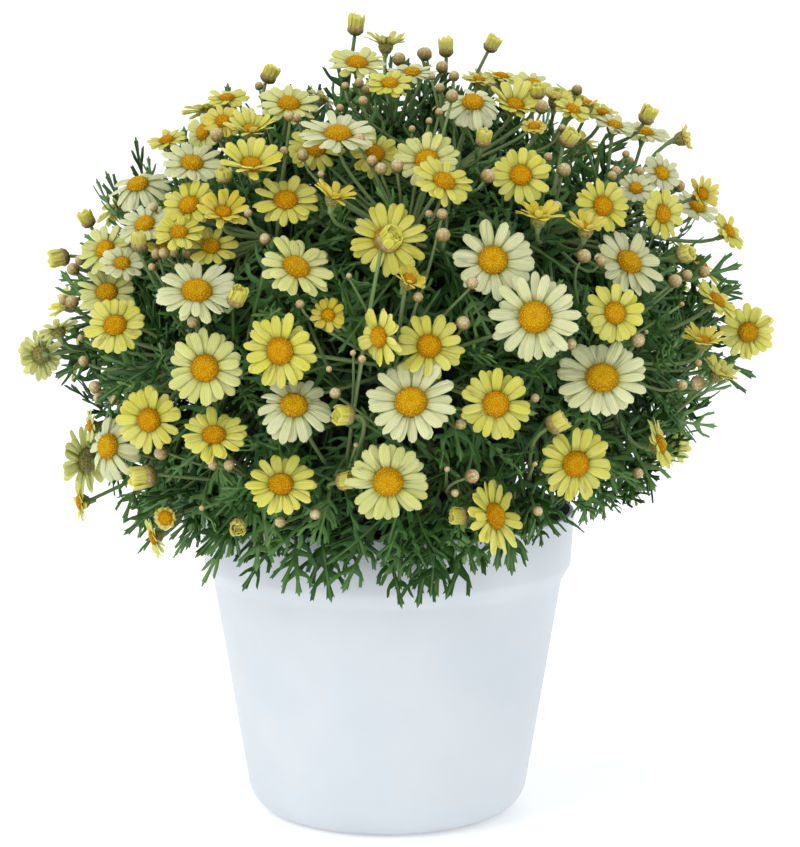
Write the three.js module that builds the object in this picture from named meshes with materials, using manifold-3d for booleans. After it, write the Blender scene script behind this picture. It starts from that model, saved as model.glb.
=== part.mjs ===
// A potted marguerite daisy: a plain pot, its soil, fourteen leafy stems and the flower sprays
// that top them. Millimetres, +Z up. The origin is the middle of the pot's underside, and -Y is
// the side that the photograph shows.

import * as THREE from 'three'
import { ConvexGeometry } from 'three/addons/geometries/ConvexGeometry.js'
import { mergeVertices } from 'three/addons/utils/BufferGeometryUtils.js'
import Module from 'manifold-3d'

const wasm = await Module()
wasm.setup()

// Pot
const POT_HEIGHT = 190
const BASE_RADIUS = 84.7
const LEDGE_RADIUS = 108.9
const LEDGE_HEIGHT = 147.5
const COLLAR_HEIGHT = 156
const COLLAR_RADIUS = 114.4
const RIM_RADIUS = 116.4
const RIM_LIP = 1.4
const FOOT_FILLET = 20
const FILLET_STEPS = 3
const WALL = 2.8
const POT_SEGMENTS = 24

// Soil
const SOIL_TOP = 172
const SOIL_CROWN = 3
const STEM_DEPTH = 40
const SEAT_GAP = 0.3
const HOLE_GAP = 0.45

// Bush: the blooms' centres lie on this shell
const BUSH_CENTRE = new THREE.Vector3(4, 0, 285)
const BUSH_RADII = new THREE.Vector3(214, 200, 186)

// Stems and shoots. Hubs, shoot tips and the leaf mass are placed by their share of the shell.
const STEM_RADIUS = 3.2
const STEM_TOP_RADIUS = 2.56
const STEM_SIDES = 4
const COLLAR_RISE = 8
const SHOOT_RADIUS = 1.7
const SHOOT_ROOT_RADIUS = 2.21
const SHOOT_SIDES = 3
const HUB_SHARE = 0.42
const SHOOT_TIP = 0.74
const CORE_OUTSIDE = 0.53
const CORE_INSIDE = 0.34
const CORE_SPREAD = 8

// Leaves. Their places on a shoot, lengths and splay are drawn between two shares.
const LEAVES_PER_SHOOT = 3
const LEAF_LENGTH = 60
const LEAF_THICKNESS = 1.2
const LEAF_ATTEMPTS = 8
const LEAF_PLACES = [0.42, 0.92]
const LEAF_LENGTHS = [0.85, 1.25]
const LEAF_SPLAYS = [0.5, 1.3]
const HANGING_SPLAY = 2.2
const LEAF_ARCH = 0.22
const LEAF_FOLD = 0.5

// Flowers
const PETAL_LENGTH = 18
const PETAL_THICKNESS = 0.8
const PETAL_LAYER = 5
const PETAL_HALF_WIDTH = { flat: 0.3, droop: 0.3, cup: 0.34 }
const DISC_SHARE = 0.34
const DISC_DOME = 0.45
const KEEL_SHARE = 0.86
const KEEL_DROP = 1.8
const CALYX_DEPTH = 6
const STALK_RADIUS = 1.1
const STALK_SIDES = 3
const STALK_BEND = 13
const STRAIGHT_ENOUGH = 0.85
const FORK_RADIUS = 3

// Flowers behind, where the photograph doesn't reach. Heights are shares of the shell's own.
const BACK_BLOOMS = 44
const BACK_STARTS = 22
const BACK_HEIGHTS = [0.93, -0.45]
const BACK_SHARES = [0.97, 1.03]
const BACK_WIDTHS = [34, 50]
const BACK_FORMS = ['flat', 'flat', 'flat', 'droop', 'cup']
const BACK_LEAN = 0.8
const HALF_OPEN = 0.7
const BACK_BUDS = 7
const BACK_BUD_AZIMUTHS = [100, 260]
const BACK_BUD_ELEVATIONS = [8, 36]
const BACK_BUD_WIDTHS = [8, 11]
const BACK_BUD_SHARE = 1.04

// Room for the flowers: a spray takes so many, and a flower tries the nearest forks and slides
// along its sight line by these steps until its head and stalk clear the others
const SPRAY_LIMIT = 8
const NEAR_FORKS = 4
const SLIDES = [0, -4, 4, -8, 8, -12, 12, -17, 17, -22, 22, -28]
const HEAD_MARGIN = 1.1
const STALKS_APART = 5
const STALK_REACH = 75
const STALK_STEPS = 16
const ROUND_STEPS = 10

// The photograph's view: where the eye stands, and its picture in pixels
const EYE_DISTANCE = 1600
const EYE_HEIGHT = 460
const EYE_PITCH = THREE.MathUtils.degToRad(7.74)
const FOCAL_PIXELS = 2597
const AXIS_COLUMN = 387.5
const MIDDLE_ROW = 423.5

// How far the petals rise from the disc's plane, in degrees
const PETAL_RISE = { flat: 8, droop: -34, cup: 48 }

// The blooms of the photographed side: column, row, width in mm, how far it turns from the eye,
// the way it then turns (0 right, 90 up), how far it stands forward of the shell in mm, form
const FRONT_BLOOMS = [
  [40, 355, 33, 150, 180, 0, 'flat'],
  [57, 329, 27, 110, 110, 0, 'flat'],
  [115, 325, 38, 30, 110, 6, 'flat'],
  [107, 292, 37, 38, 100, -10, 'flat'],
  [105, 249, 34, 42, 130, -8, 'flat'],
  [145, 224, 35, 50, 110, -8, 'flat'],
  [138, 184, 37, 55, 105, 0, 'droop'],
  [122, 263, 28, 45, 90, -20, 'flat'],
  [179, 232, 30, 50, 90, 4, 'flat'],
  [189, 205, 35, 40, 120, -10, 'flat'],
  [192, 163, 38, 52, 85, 0, 'flat'],
  [223, 213, 30, 45, 80, 0, 'cup'],
  [211, 246, 32, 45, 90, 0, 'flat'],
  [167, 140, 26, 65, 100, 0, 'flat'],
  [203, 132, 30, 50, 150, -12, 'flat'],
  [223, 121, 26, 45, 90, 0, 'flat'],
  [227, 98, 27, 70, 95, 0, 'flat'],
  [251, 130, 31, 62, 90, 0, 'cup'],
  [289, 104, 38, 55, 85, 0, 'flat'],
  [357, 63, 38, 62, 85, 0, 'flat'],
  [390, 83, 28, 55, 85, 6, 'flat'],
  [386, 44, 27, 95, 85, -4, 'cup'],
  [338, 134, 46, 62, 88, 4, 'flat'],
  [316, 148, 35, 40, 90, -12, 'flat'],
  [375, 153, 33, 35, 60, -10, 'flat'],
  [286, 200, 39, 42, 88, 0, 'flat'],
  [251, 165, 37, 55, 88, 0, 'cup'],
  [334, 197, 27, 78, 75, 6, 'cup'],
  [296, 267, 45, 48, 65, 0, 'flat'],
  [388, 240, 45, 22, 90, 0, 'flat'],
  [427, 160, 38, 28, 90, -8, 'flat'],
  [444, 181, 36, 50, 65, 8, 'flat'],
  [473, 102, 36, 50, 88, 0, 'droop'],
  [515, 105, 34, 55, 70, 0, 'cup'],
  [521, 175, 36, 20, 60, 0, 'flat'],
  [479, 79, 22, 75, 80, -4, 'flat'],
  [502, 76, 25, 78, 80, -8, 'flat'],
  [533, 83, 26, 62, 75, -4, 'flat'],
  [556, 99, 22, 85, 80, 0, 'cup'],
  [573, 109, 25, 63, 65, 0, 'flat'],
  [587, 104, 16, 80, 80, -8, 'cup'],
  [603, 112, 22, 65, 75, 0, 'flat'],
  [615, 125, 28, 72, 72, 4, 'flat'],
  [644, 132, 34, 72, 78, 0, 'flat'],
  [684, 138, 18, 85, 15, 0, 'cup'],
  [662, 173, 27, 42, 40, 0, 'flat'],
  [636, 188, 24, 45, 70, -10, 'flat'],
  [603, 206, 34, 28, 30, 0, 'flat'],
  [663, 214, 32, 45, 5, 0, 'flat'],
  [702, 194, 24, 50, 25, 4, 'cup'],
  [697, 207, 31, 60, 60, -10, 'flat'],
  [729, 231, 27, 65, 35, 0, 'flat'],
  [586, 228, 25, 72, 80, 6, 'cup'],
  [539, 217, 27, 72, 85, 4, 'cup'],
  [493, 260, 47, 15, 70, 0, 'flat'],
  [535, 317, 52, 10, 90, 6, 'flat'],
  [629, 262, 44, 45, 50, -4, 'flat'],
  [615, 313, 36, 20, 20, -4, 'flat'],
  [602, 378, 53, 30, 80, 0, 'flat'],
  [576, 464, 43, 20, 340, 0, 'flat'],
  [496, 404, 42, 12, 0, 0, 'flat'],
  [429, 346, 39, 18, 90, -6, 'flat'],
  [411, 402, 51, 25, 100, 0, 'flat'],
  [388, 482, 48, 15, 270, 0, 'flat'],
  [495, 516, 45, 55, 15, 0, 'flat'],
  [281, 484, 40, 30, 90, 0, 'flat'],
  [294, 405, 43, 30, 90, -6, 'droop'],
  [280, 351, 43, 12, 180, 4, 'flat'],
  [205, 368, 45, 10, 180, 0, 'flat'],
  [149, 420, 39, 18, 180, 0, 'flat'],
  [214, 435, 38, 38, 95, 0, 'flat'],
  [108, 446, 43, 45, 170, 0, 'droop'],
  [90, 426, 20, 75, 180, -12, 'flat'],
  [80, 502, 28, 80, 185, 0, 'flat'],
  [153, 538, 25, 80, 200, 0, 'flat'],
  [166, 518, 14, 20, 200, 0, 'cup'],
  [328, 315, 21, 20, 90, 0, 'flat'],
  [379, 337, 35, 48, 185, 2, 'flat'],
  [409, 280, 19, 60, 60, 4, 'cup'],
  [717, 300, 32, 70, 45, 0, 'flat'],
  [748, 332, 36, 15, 0, 0, 'flat'],
  [703, 341, 27, 65, 80, 4, 'cup'],
  [718, 373, 26, 75, 55, 0, 'cup'],
  [660, 444, 33, 75, 20, 0, 'flat'],
  [412, 72, 30, 70, 88, -10, 'flat'],
  [322, 97, 20, 100, 60, -12, 'flat'],
  [164, 247, 20, 60, 90, -10, 'flat'],
  [197, 291, 49, 45, 90, 6, 'flat'],
  [534, 126, 16, 60, 90, -8, 'flat'],
]

// The largest buds of that side: column and row of the middle, width in mm, length over width,
// how far the bud turns from the eye, and the way it then turns
const FRONT_BUDS = [
  [356, 25, 10, 1.3, 85, 83],
  [270, 74, 10, 1.2, 85, 62],
  [446, 47, 9, 1.4, 85, 92],
  [492, 44, 9, 1.2, 80, 62],
  [484, 138, 9, 1.2, 70, 78],
  [569, 138, 10, 1.2, 75, 55],
  [648, 115, 10, 1.2, 80, 62],
  [685, 254, 10, 1, 65, 20],
  [59, 258, 11, 1.2, 80, 190],
  [139, 242, 9, 1.3, 80, 90],
  [237, 297, 10, 1.2, 65, 65],
  [389, 240, 13, 1, 60, 45],
  [143, 477, 13, 1.2, 80, 190],
  [344, 415, 11, 1.1, 60, 180],
  [345, 481, 10, 1, 50, 10],
  [557, 423, 11, 1.1, 80, 30],
  [459, 516, 10, 1, 70, 180],
  [538, 91, 9, 1, 70, 90],
  [488, 176, 8, 1, 75, 55],
  [584, 256, 8, 1, 60, 55],
  [675, 281, 8, 1, 70, 40],
  [638, 340, 8, 1, 20, 60],
  [443, 235, 8, 1, 60, 90],
  [189, 252, 8, 1, 65, 90],
  [87, 219, 9, 1.2, 80, 115],
  [72, 302, 8, 1, 75, 110],
  [177, 201, 8, 1, 70, 92],
  [224, 176, 9, 1, 75, 95],
  [161, 453, 8, 1, 60, 180],
  [238, 527, 9, 1, 25, 270],
  [472, 476, 8, 1, 60, 20],
  [698, 383, 8, 1, 60, 200],
]

// Where the stems grow: rings of stems, each with three shoots that end under the blooms.
// `first` is the first stem's azimuth, 0 at the photographed side and 90 at +X, `lift` is the
// hub's elevation, and a shoot is [azimuth off the stem's own, elevation on the bush].
const STEM_RINGS = [
  { stems: 8, first: 0, footRadius: 48, lift: -2, shoots: [[-12, -27], [12, -27], [0, 4]] },
  { stems: 5, first: 22, footRadius: 26, lift: 44, shoots: [[-19, 34], [19, 34], [0, 56]] },
  { stems: 1, first: 0, footRadius: 0, lift: 88, shoots: [[0, 76], [120, 76], [240, 76]] },
]

const UP = new THREE.Vector3(0, 0, 1)
const GOLDEN_ANGLE = Math.PI * (3 - Math.sqrt(5))

const rad = THREE.MathUtils.degToRad

const between = ([low, high], share) => low + (high - low) * share

// A repeatable row of draws between 0 and 1
function draws(seed) {
  let state = seed
  return () => {
    state = (state * 1664525 + 1013904223) % 4294967296
    return state / 4294967296
  }
}

// A place on the bush: azimuth and elevation in degrees, and the share of the shell's radius
function onBush(azimuth, elevation, share) {
  const level = Math.cos(rad(elevation))
  return new THREE.Vector3(
    level * Math.sin(rad(azimuth)),
    -level * Math.cos(rad(azimuth)),
    Math.sin(rad(elevation)),
  ).multiply(BUSH_RADII).multiplyScalar(share).add(BUSH_CENTRE)
}

// The way out of the bush at a place
function outward(place) {
  return place.clone().sub(BUSH_CENTRE).divide(BUSH_RADII).divide(BUSH_RADII).normalize()
}

const EYE = new THREE.Vector3(0, -EYE_DISTANCE, EYE_HEIGHT)
const EYE_FORWARD = new THREE.Vector3(0, Math.cos(EYE_PITCH), -Math.sin(EYE_PITCH))
const EYE_UP = new THREE.Vector3(0, Math.sin(EYE_PITCH), Math.cos(EYE_PITCH))

// Where the sight line through a pixel meets the bush's shell, or passes it closest
function atPixel(column, row) {
  const sight = EYE_FORWARD.clone()
    .add(new THREE.Vector3((column - AXIS_COLUMN) / FOCAL_PIXELS, 0, 0))
    .addScaledVector(EYE_UP, (MIDDLE_ROW - row) / FOCAL_PIXELS)
    .normalize()
  const from = EYE.clone().sub(BUSH_CENTRE).divide(BUSH_RADII)
  const step = sight.clone().divide(BUSH_RADII)
  const a = step.dot(step)
  const b = from.dot(step)
  const c = from.dot(from) - 1
  const reach = (-b - Math.sqrt(Math.max(b * b - a * c, 0))) / a
  return EYE.clone().addScaledVector(sight, reach)
}

// Two directions square to an axis, turned about it by an angle
function basisOf(axis, turn = 0) {
  const helper = Math.abs(axis.z) > 0.9 ? new THREE.Vector3(1, 0, 0) : UP
  const first = helper.clone().cross(axis).normalize().applyAxisAngle(axis, turn)
  return [first, axis.clone().cross(first)]
}

// Shells: closed surfaces built from rings of points, each ring counterclockwise seen from above
class Shell {
  constructor() {
    this.points = []
    this.faces = []
  }

  add(point) {
    this.points.push(point)
    return this.points.length - 1
  }

  ring(centre, [first, second], radius, sides) {
    return Array.from({ length: sides }, (_, i) => {
      const angle = (2 * Math.PI * i) / sides
      return this.add(centre.clone()
        .addScaledVector(first, radius * Math.cos(angle))
        .addScaledVector(second, radius * Math.sin(angle)))
    })
  }

  // Joins an upper ring to a lower one, which may have fewer points
  zip(upper, lower) {
    let i = 0
    let j = 0
    while (i < upper.length || j < lower.length) {
      const top = upper[i % upper.length]
      const low = lower[j % lower.length]
      const upperFirst = (i + 0.5) / upper.length <= (j + 0.5) / lower.length
      if (j >= lower.length || (i < upper.length && upperFirst)) {
        this.faces.push([upper[(i + 1) % upper.length], top, low])
        i += 1
      } else {
        this.faces.push([low, lower[(j + 1) % lower.length], top])
        j += 1
      }
    }
  }

  // Closes a ring with a fan from a point above it, or below it when `under` is set
  fan(apex, ring, under = false) {
    ring.forEach((from, i) => {
      const to = ring[(i + 1) % ring.length]
      this.faces.push(under ? [apex, to, from] : [apex, from, to])
    })
  }

  solid() {
    return solidOf(this.points.flatMap((p) => [p.x, p.y, p.z]), this.faces.flat())
  }
}

function solidOf(coordinates, corners) {
  const mesh = new wasm.Mesh({
    numProp: 3,
    vertProperties: new Float32Array(coordinates),
    triVerts: new Uint32Array(corners),
  })
  mesh.merge()
  return new wasm.Manifold(mesh)
}

function solidFrom(geometry) {
  const bare = new THREE.BufferGeometry()
  bare.setAttribute('position', geometry.getAttribute('position').clone())
  if (geometry.index) bare.setIndex(geometry.index.clone())
  const merged = mergeVertices(bare, 1e-3)
  const corners = []
  for (let i = 0; i < merged.index.count; i += 3) {
    const [a, b, c] = [0, 1, 2].map((k) => merged.index.getX(i + k))
    if (a !== b && b !== c && c !== a) corners.push(a, b, c)
  }
  return solidOf(merged.getAttribute('position').array, corners)
}

// A tapering tube along points, for stems and shoots
function tubeSolid(points, radii, sides) {
  const shell = new Shell()
  let above = null
  let first = null
  points.forEach((point, i) => {
    const before = points[Math.max(i - 1, 0)]
    const after = points[Math.min(i + 1, points.length - 1)]
    const axis = before.clone().sub(after).normalize()
    first = first ? first.clone().projectOnPlane(axis).normalize() : basisOf(axis)[0]
    const ring = shell.ring(point, [first, axis.clone().cross(first)], radii[i], sides)
    if (above) shell.zip(above, ring)
    else shell.fan(shell.add(point.clone()), ring)
    above = ring
  })
  shell.fan(shell.add(points.at(-1).clone()), above, true)
  return shell.solid()
}

// Pot and soil
function lathe(profile) {
  return solidFrom(new THREE.LatheGeometry(profile, POT_SEGMENTS).rotateX(Math.PI / 2))
}

const WALL_LEAN = Math.atan2(LEDGE_RADIUS - BASE_RADIUS, LEDGE_HEIGHT)

// The pot's outer wall radius at a height below its ledge
function wallRadius(height) {
  return BASE_RADIUS + (LEDGE_RADIUS - BASE_RADIUS) * (height / LEDGE_HEIGHT)
}

const FILLET_CENTRE = wallRadius(FOOT_FILLET) - FOOT_FILLET / Math.cos(WALL_LEAN)

function potProfile() {
  const path = new THREE.Path()
  path.moveTo(0, 0)
  path.lineTo(FILLET_CENTRE, 0)
  path.absarc(FILLET_CENTRE, FOOT_FILLET, FOOT_FILLET, -Math.PI / 2, -WALL_LEAN, false)
  path.lineTo(LEDGE_RADIUS, LEDGE_HEIGHT)
  path.lineTo(COLLAR_RADIUS, COLLAR_HEIGHT)
  path.lineTo(RIM_RADIUS, POT_HEIGHT - RIM_LIP)
  path.lineTo(RIM_RADIUS - RIM_LIP, POT_HEIGHT)
  path.lineTo(RIM_RADIUS - WALL, POT_HEIGHT)
  path.lineTo(COLLAR_RADIUS - WALL, COLLAR_HEIGHT)
  path.lineTo(LEDGE_RADIUS - WALL, LEDGE_HEIGHT)
  path.lineTo(wallRadius(FOOT_FILLET) - WALL, FOOT_FILLET)
  path.lineTo(FILLET_CENTRE, WALL)
  path.lineTo(0, WALL)
  return path.getPoints(FILLET_STEPS / 2)
}

// The soil follows the pot's inside, a seat gap off it
function soilProfile() {
  const gap = WALL + HOLE_GAP
  return [
    [0, WALL + SEAT_GAP],
    [FILLET_CENTRE, WALL + SEAT_GAP],
    [wallRadius(FOOT_FILLET) - gap, FOOT_FILLET],
    [LEDGE_RADIUS - gap, LEDGE_HEIGHT],
    [COLLAR_RADIUS - gap, COLLAR_HEIGHT + SEAT_GAP],
    [COLLAR_RADIUS - gap, SOIL_TOP - SOIL_CROWN],
    [0, SOIL_TOP],
  ].map(([radius, height]) => new THREE.Vector2(radius, height))
}

// Stems: the foot in the soil, the hub inside the bush, and the shoots' tips
function layOutStems() {
  return STEM_RINGS.flatMap((ring) => Array.from({ length: ring.stems }, (_, k) => {
    const azimuth = ring.first + (360 / ring.stems) * k
    const foot = new THREE.Vector3(
      ring.footRadius * Math.sin(rad(azimuth)),
      -ring.footRadius * Math.cos(rad(azimuth)),
      SOIL_TOP - STEM_DEPTH,
    )
    const collar = foot.clone().setZ(SOIL_TOP + COLLAR_RISE)
    const hub = onBush(azimuth, ring.lift, HUB_SHARE)
    const shoots = ring.shoots.map(([off, elevation]) => ({ azimuth: azimuth + off, elevation }))
    return { azimuth, lift: ring.lift, foot, collar, hub, shoots }
  }))
}

const STEMS = layOutStems()
const FORKS = STEMS.flatMap((stem, index) => stem.shoots.map((shoot) => ({
  stem: index,
  place: onBush(shoot.azimuth, shoot.elevation, SHOOT_TIP),
})))

// The wedge of leaf mass inside a stem's own share of the bush
function coreSolid(stem) {
  const corners = []
  for (const [aside, above] of [[-1, -1], [1, -1], [1, 1], [-1, 1]]) {
    for (const { azimuth, elevation } of stem.shoots) {
      corners.push(onBush(azimuth + aside * CORE_SPREAD, elevation + above * CORE_SPREAD, CORE_OUTSIDE))
    }
    const azimuth = stem.azimuth + aside * CORE_SPREAD
    corners.push(onBush(azimuth, stem.lift + above * CORE_SPREAD, CORE_INSIDE))
  }
  return solidFrom(new ConvexGeometry(corners))
}

// A cut leaf: two pairs of side lobes and a pointed end, arched along its length.
// Each point of its outline is [share of the length, half width as a share of the length].
const LEAF_SIDE = [[0.42, 0.22], [0.56, 0.07], [0.82, 0.18]]
const LEAF_MIDDLE = 0.6

function leafSolid(root, along, face, length) {
  const side = face.clone().cross(along)
  const at = (x, y, lift = 0) => root.clone()
    .addScaledVector(along, x * length)
    .addScaledVector(side, y * length)
    .addScaledVector(face, lift - length * (LEAF_ARCH * x * x + LEAF_FOLD * y * y))
  const shell = new Shell()
  const left = LEAF_SIDE.map(([x, y]) => shell.add(at(x, y)))
  const right = LEAF_SIDE.map(([x, y]) => shell.add(at(x, -y)))
  const outline = [shell.add(at(0, 0)), ...right, shell.add(at(1, 0)), ...left.reverse()]
  shell.fan(shell.add(at(LEAF_MIDDLE, 0, LEAF_THICKNESS)), outline)
  shell.fan(shell.add(at(LEAF_MIDDLE, 0)), outline, true)
  return shell.solid()
}

// The direction that turns from the eye by a tilt, towards a way in the picture, at a place
function seenAxis(place, tilt, toward) {
  const toEye = EYE.clone().sub(place).normalize()
  const right = UP.clone().cross(toEye).normalize()
  const above = toEye.clone().cross(right)
  const axis = toEye.clone().multiplyScalar(Math.cos(rad(tilt)))
    .addScaledVector(right, Math.sin(rad(tilt)) * Math.cos(rad(toward)))
    .addScaledVector(above, Math.sin(rad(tilt)) * Math.sin(rad(toward)))
  return { axis, toEye }
}

// Flowers: each record holds what its shape and its clearance are worked out from
function frontBloom([column, row, width, tilt, toward, forward, form], index) {
  const place = atPixel(column, row)
  const { axis, toEye } = seenAxis(place, tilt, toward)
  return { place, axis, width, form, slide: toEye, forward, turn: index * GOLDEN_ANGLE }
}

// The blooms behind: even all over that side
function backBlooms() {
  const draw = draws(7)
  const blooms = []
  const turns = BACK_BLOOMS * 2
  for (let i = 0; i < turns; i += 1) {
    const elevation = THREE.MathUtils.radToDeg(Math.asin(between(BACK_HEIGHTS, (i + 0.5) / turns)))
    const azimuth = THREE.MathUtils.radToDeg(i * GOLDEN_ANGLE) + 6 * draw()
    const place = onBush(azimuth, elevation, between(BACK_SHARES, draw()))
    const width = between(BACK_WIDTHS, draw())
    const form = BACK_FORMS[Math.floor(BACK_FORMS.length * draw())]
    const lean = new THREE.Vector3(draw() - 0.5, draw() - 0.5, 0.25 + 0.5 * draw())
    const axis = outward(place).addScaledVector(lean, BACK_LEAN).normalize()
    if (place.y > BACK_STARTS) {
      const shown = form === 'cup' ? width * HALF_OPEN : width
      blooms.push({ place, axis, width: shown, form, slide: outward(place), forward: 0, turn: i })
    }
  }
  return blooms
}

// A bud from its middle; its place is the top of its stalk
function bud(middle, axis, width, stretch, slide, turn) {
  const place = middle.clone().addScaledVector(axis, -0.5 * width * stretch)
  return { place, axis, width, stretch, form: 'bud', slide, forward: 0, turn }
}

function frontBud([column, row, width, stretch, tilt, toward], index) {
  const middle = atPixel(column, row)
  const { axis, toEye } = seenAxis(middle, tilt, toward)
  return bud(middle, axis, width, stretch, toEye, index)
}

function backBuds() {
  return Array.from({ length: BACK_BUDS }, (_, i) => {
    const azimuth = between(BACK_BUD_AZIMUTHS, (i + 0.5) / BACK_BUDS)
    const elevation = between(BACK_BUD_ELEVATIONS, (i * 0.618) % 1)
    const middle = onBush(azimuth, elevation, BACK_BUD_SHARE)
    const axis = outward(middle).addScaledVector(UP, 0.6).normalize()
    return bud(middle, axis, between(BACK_BUD_WIDTHS, (i * 0.382) % 1), 1.1, outward(middle), i)
  })
}

// Sizes of a head that follow from its width and form
function headSizes({ width, form, stretch }) {
  if (form === 'bud') {
    return { radius: width / 2, low: 0, high: width * stretch, disc: 0, reach: 0, rise: 0 }
  }
  const rise = rad(PETAL_RISE[form])
  const disc = Math.max((width * DISC_SHARE) / 2, form === 'cup' ? 4.5 : 3.5)
  const reach = Math.min((width / 2 - disc) / Math.cos(rise), PETAL_LENGTH)
  const tip = reach * Math.sin(rise)
  return { radius: width / 2, low: Math.min(tip, 0) - 2, high: Math.max(tip, 3) + 1, disc, reach, rise }
}

// The stalk's way from under the head to its fork
function stalkPath(head, fork) {
  const top = head.place.clone().addScaledVector(head.axis, head.form === 'bud' ? 0 : -CALYX_DEPTH)
  const down = fork.clone().sub(top)
  if (-down.dot(head.axis) > STRAIGHT_ENOUGH * down.length()) return [top, fork.clone()]
  const bend = Math.min(STALK_BEND, 0.35 * down.length())
  return [top, top.clone().addScaledVector(head.axis, -bend), fork.clone()]
}

// Points that stand for a head and for a stalk where clearances are tested
function headSamples(head) {
  const { radius, low, high } = head.sizes
  const [first, second] = basisOf(head.axis)
  const samples = []
  for (const height of [low, (low + high) / 2, high]) {
    const middle = head.place.clone().addScaledVector(head.axis, height)
    samples.push(middle)
    for (const share of [0.55, 1]) {
      for (let k = 0; k < ROUND_STEPS; k += 1) {
        const angle = (2 * Math.PI * k) / ROUND_STEPS
        samples.push(middle.clone()
          .addScaledVector(first, radius * share * Math.cos(angle))
          .addScaledVector(second, radius * share * Math.sin(angle)))
      }
    }
  }
  return samples
}

function stalkSamples(path) {
  const samples = []
  for (let i = 0; i < path.length - 1; i += 1) {
    for (let k = 0; k < STALK_STEPS; k += 1) {
      samples.push(path[i].clone().lerp(path[i + 1], k / STALK_STEPS))
    }
  }
  return samples
}

function inHead(point, head, margin) {
  const { radius, low, high } = head.sizes
  const from = point.clone().sub(head.place)
  const height = from.dot(head.axis)
  if (height < low - margin || height > high + margin) return false
  return from.lengthSq() - height * height < (radius + margin) ** 2
}

// Whether two flowers, head and stalk, cross
function flowersCross(one, other, margin) {
  const reach = one.sizes.radius + other.sizes.radius + STALK_REACH
  if (one.place.distanceTo(other.place) > reach) return false
  const stalksMeet = one.fork !== other.fork && one.stalkPoints.some((p) => (
    other.stalkPoints.some((q) => p.distanceTo(q) < STALKS_APART)))
  return stalksMeet
    || one.headPoints.some((p) => inHead(p, other, margin))
    || other.headPoints.some((p) => inHead(p, one, margin))
    || one.stalkPoints.some((p) => inHead(p, other, margin + STALK_RADIUS))
    || other.stalkPoints.some((p) => inHead(p, one, margin + STALK_RADIUS))
}

// Sets each flower on the nearest fork, slid along its sight line until it is clear of the
// others. One that finds no clear place may cross flowers of its own spray, and joins them.
function settle(heads) {
  const settled = []
  const tryAt = (head, slide, fork) => {
    const place = head.place.clone().addScaledVector(head.slide, head.forward + slide)
    const placed = { ...head, place, fork, sizes: headSizes(head) }
    placed.path = stalkPath(placed, FORKS[fork].place)
    placed.headPoints = headSamples(placed)
    placed.stalkPoints = stalkSamples(placed.path)
    return placed
  }
  for (const head of heads) {
    const near = FORKS.map((fork, index) => ({ index, far: fork.place.distanceTo(head.place) }))
      .filter(({ index }) => settled.filter(({ fork }) => fork === index).length < SPRAY_LIMIT)
      .sort((a, b) => a.far - b.far)
      .slice(0, NEAR_FORKS)
      .map(({ index }) => index)
    const tries = SLIDES.flatMap((slide) => near.map((fork) => tryAt(head, slide, fork)))
    const clear = tries.find((flower) => (
      !settled.some((other) => flowersCross(flower, other, HEAD_MARGIN))))
    const joined = clear ?? tries.find((flower) => !settled.some((other) => (
      other.fork !== flower.fork && flowersCross(flower, other, HEAD_MARGIN))))
    if (joined) settled.push(joined)
  }
  return settled
}

// Petals needed to keep a head of this width round
function petalCount({ width, form }) {
  if (width < 33 || form === 'cup') return 5
  return width > 44 ? 7 : 6
}

// A ring turned so that its points lie nearest to those of the ring above it
function matched(points, above, ring) {
  const turned = ring.map((_, k) => [...ring.slice(k), ...ring.slice(0, k)])
  const apart = (candidate) => candidate.reduce((sum, id, k) => (
    sum + points[id].distanceTo(points[above[k]])), 0)
  return turned.reduce((best, candidate) => (apart(candidate) < apart(best) ? candidate : best))
}

// Adds a stalk below a ring, down to its seat: three points of its fork
function addStalk(shell, ring, flower, first, seat) {
  let above = ring
  let side = first
  const { path } = flower
  path.slice(0, -1).forEach((point, i) => {
    const axis = i === 0 ? flower.axis : path[i - 1].clone().sub(path[i + 1]).normalize()
    side = side.clone().projectOnPlane(axis).normalize()
    const next = shell.ring(point, [side, axis.clone().cross(side)], STALK_RADIUS, STALK_SIDES)
    shell.zip(above, next)
    above = next
  })
  shell.zip(above, matched(shell.points, above, seat))
}

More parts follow.
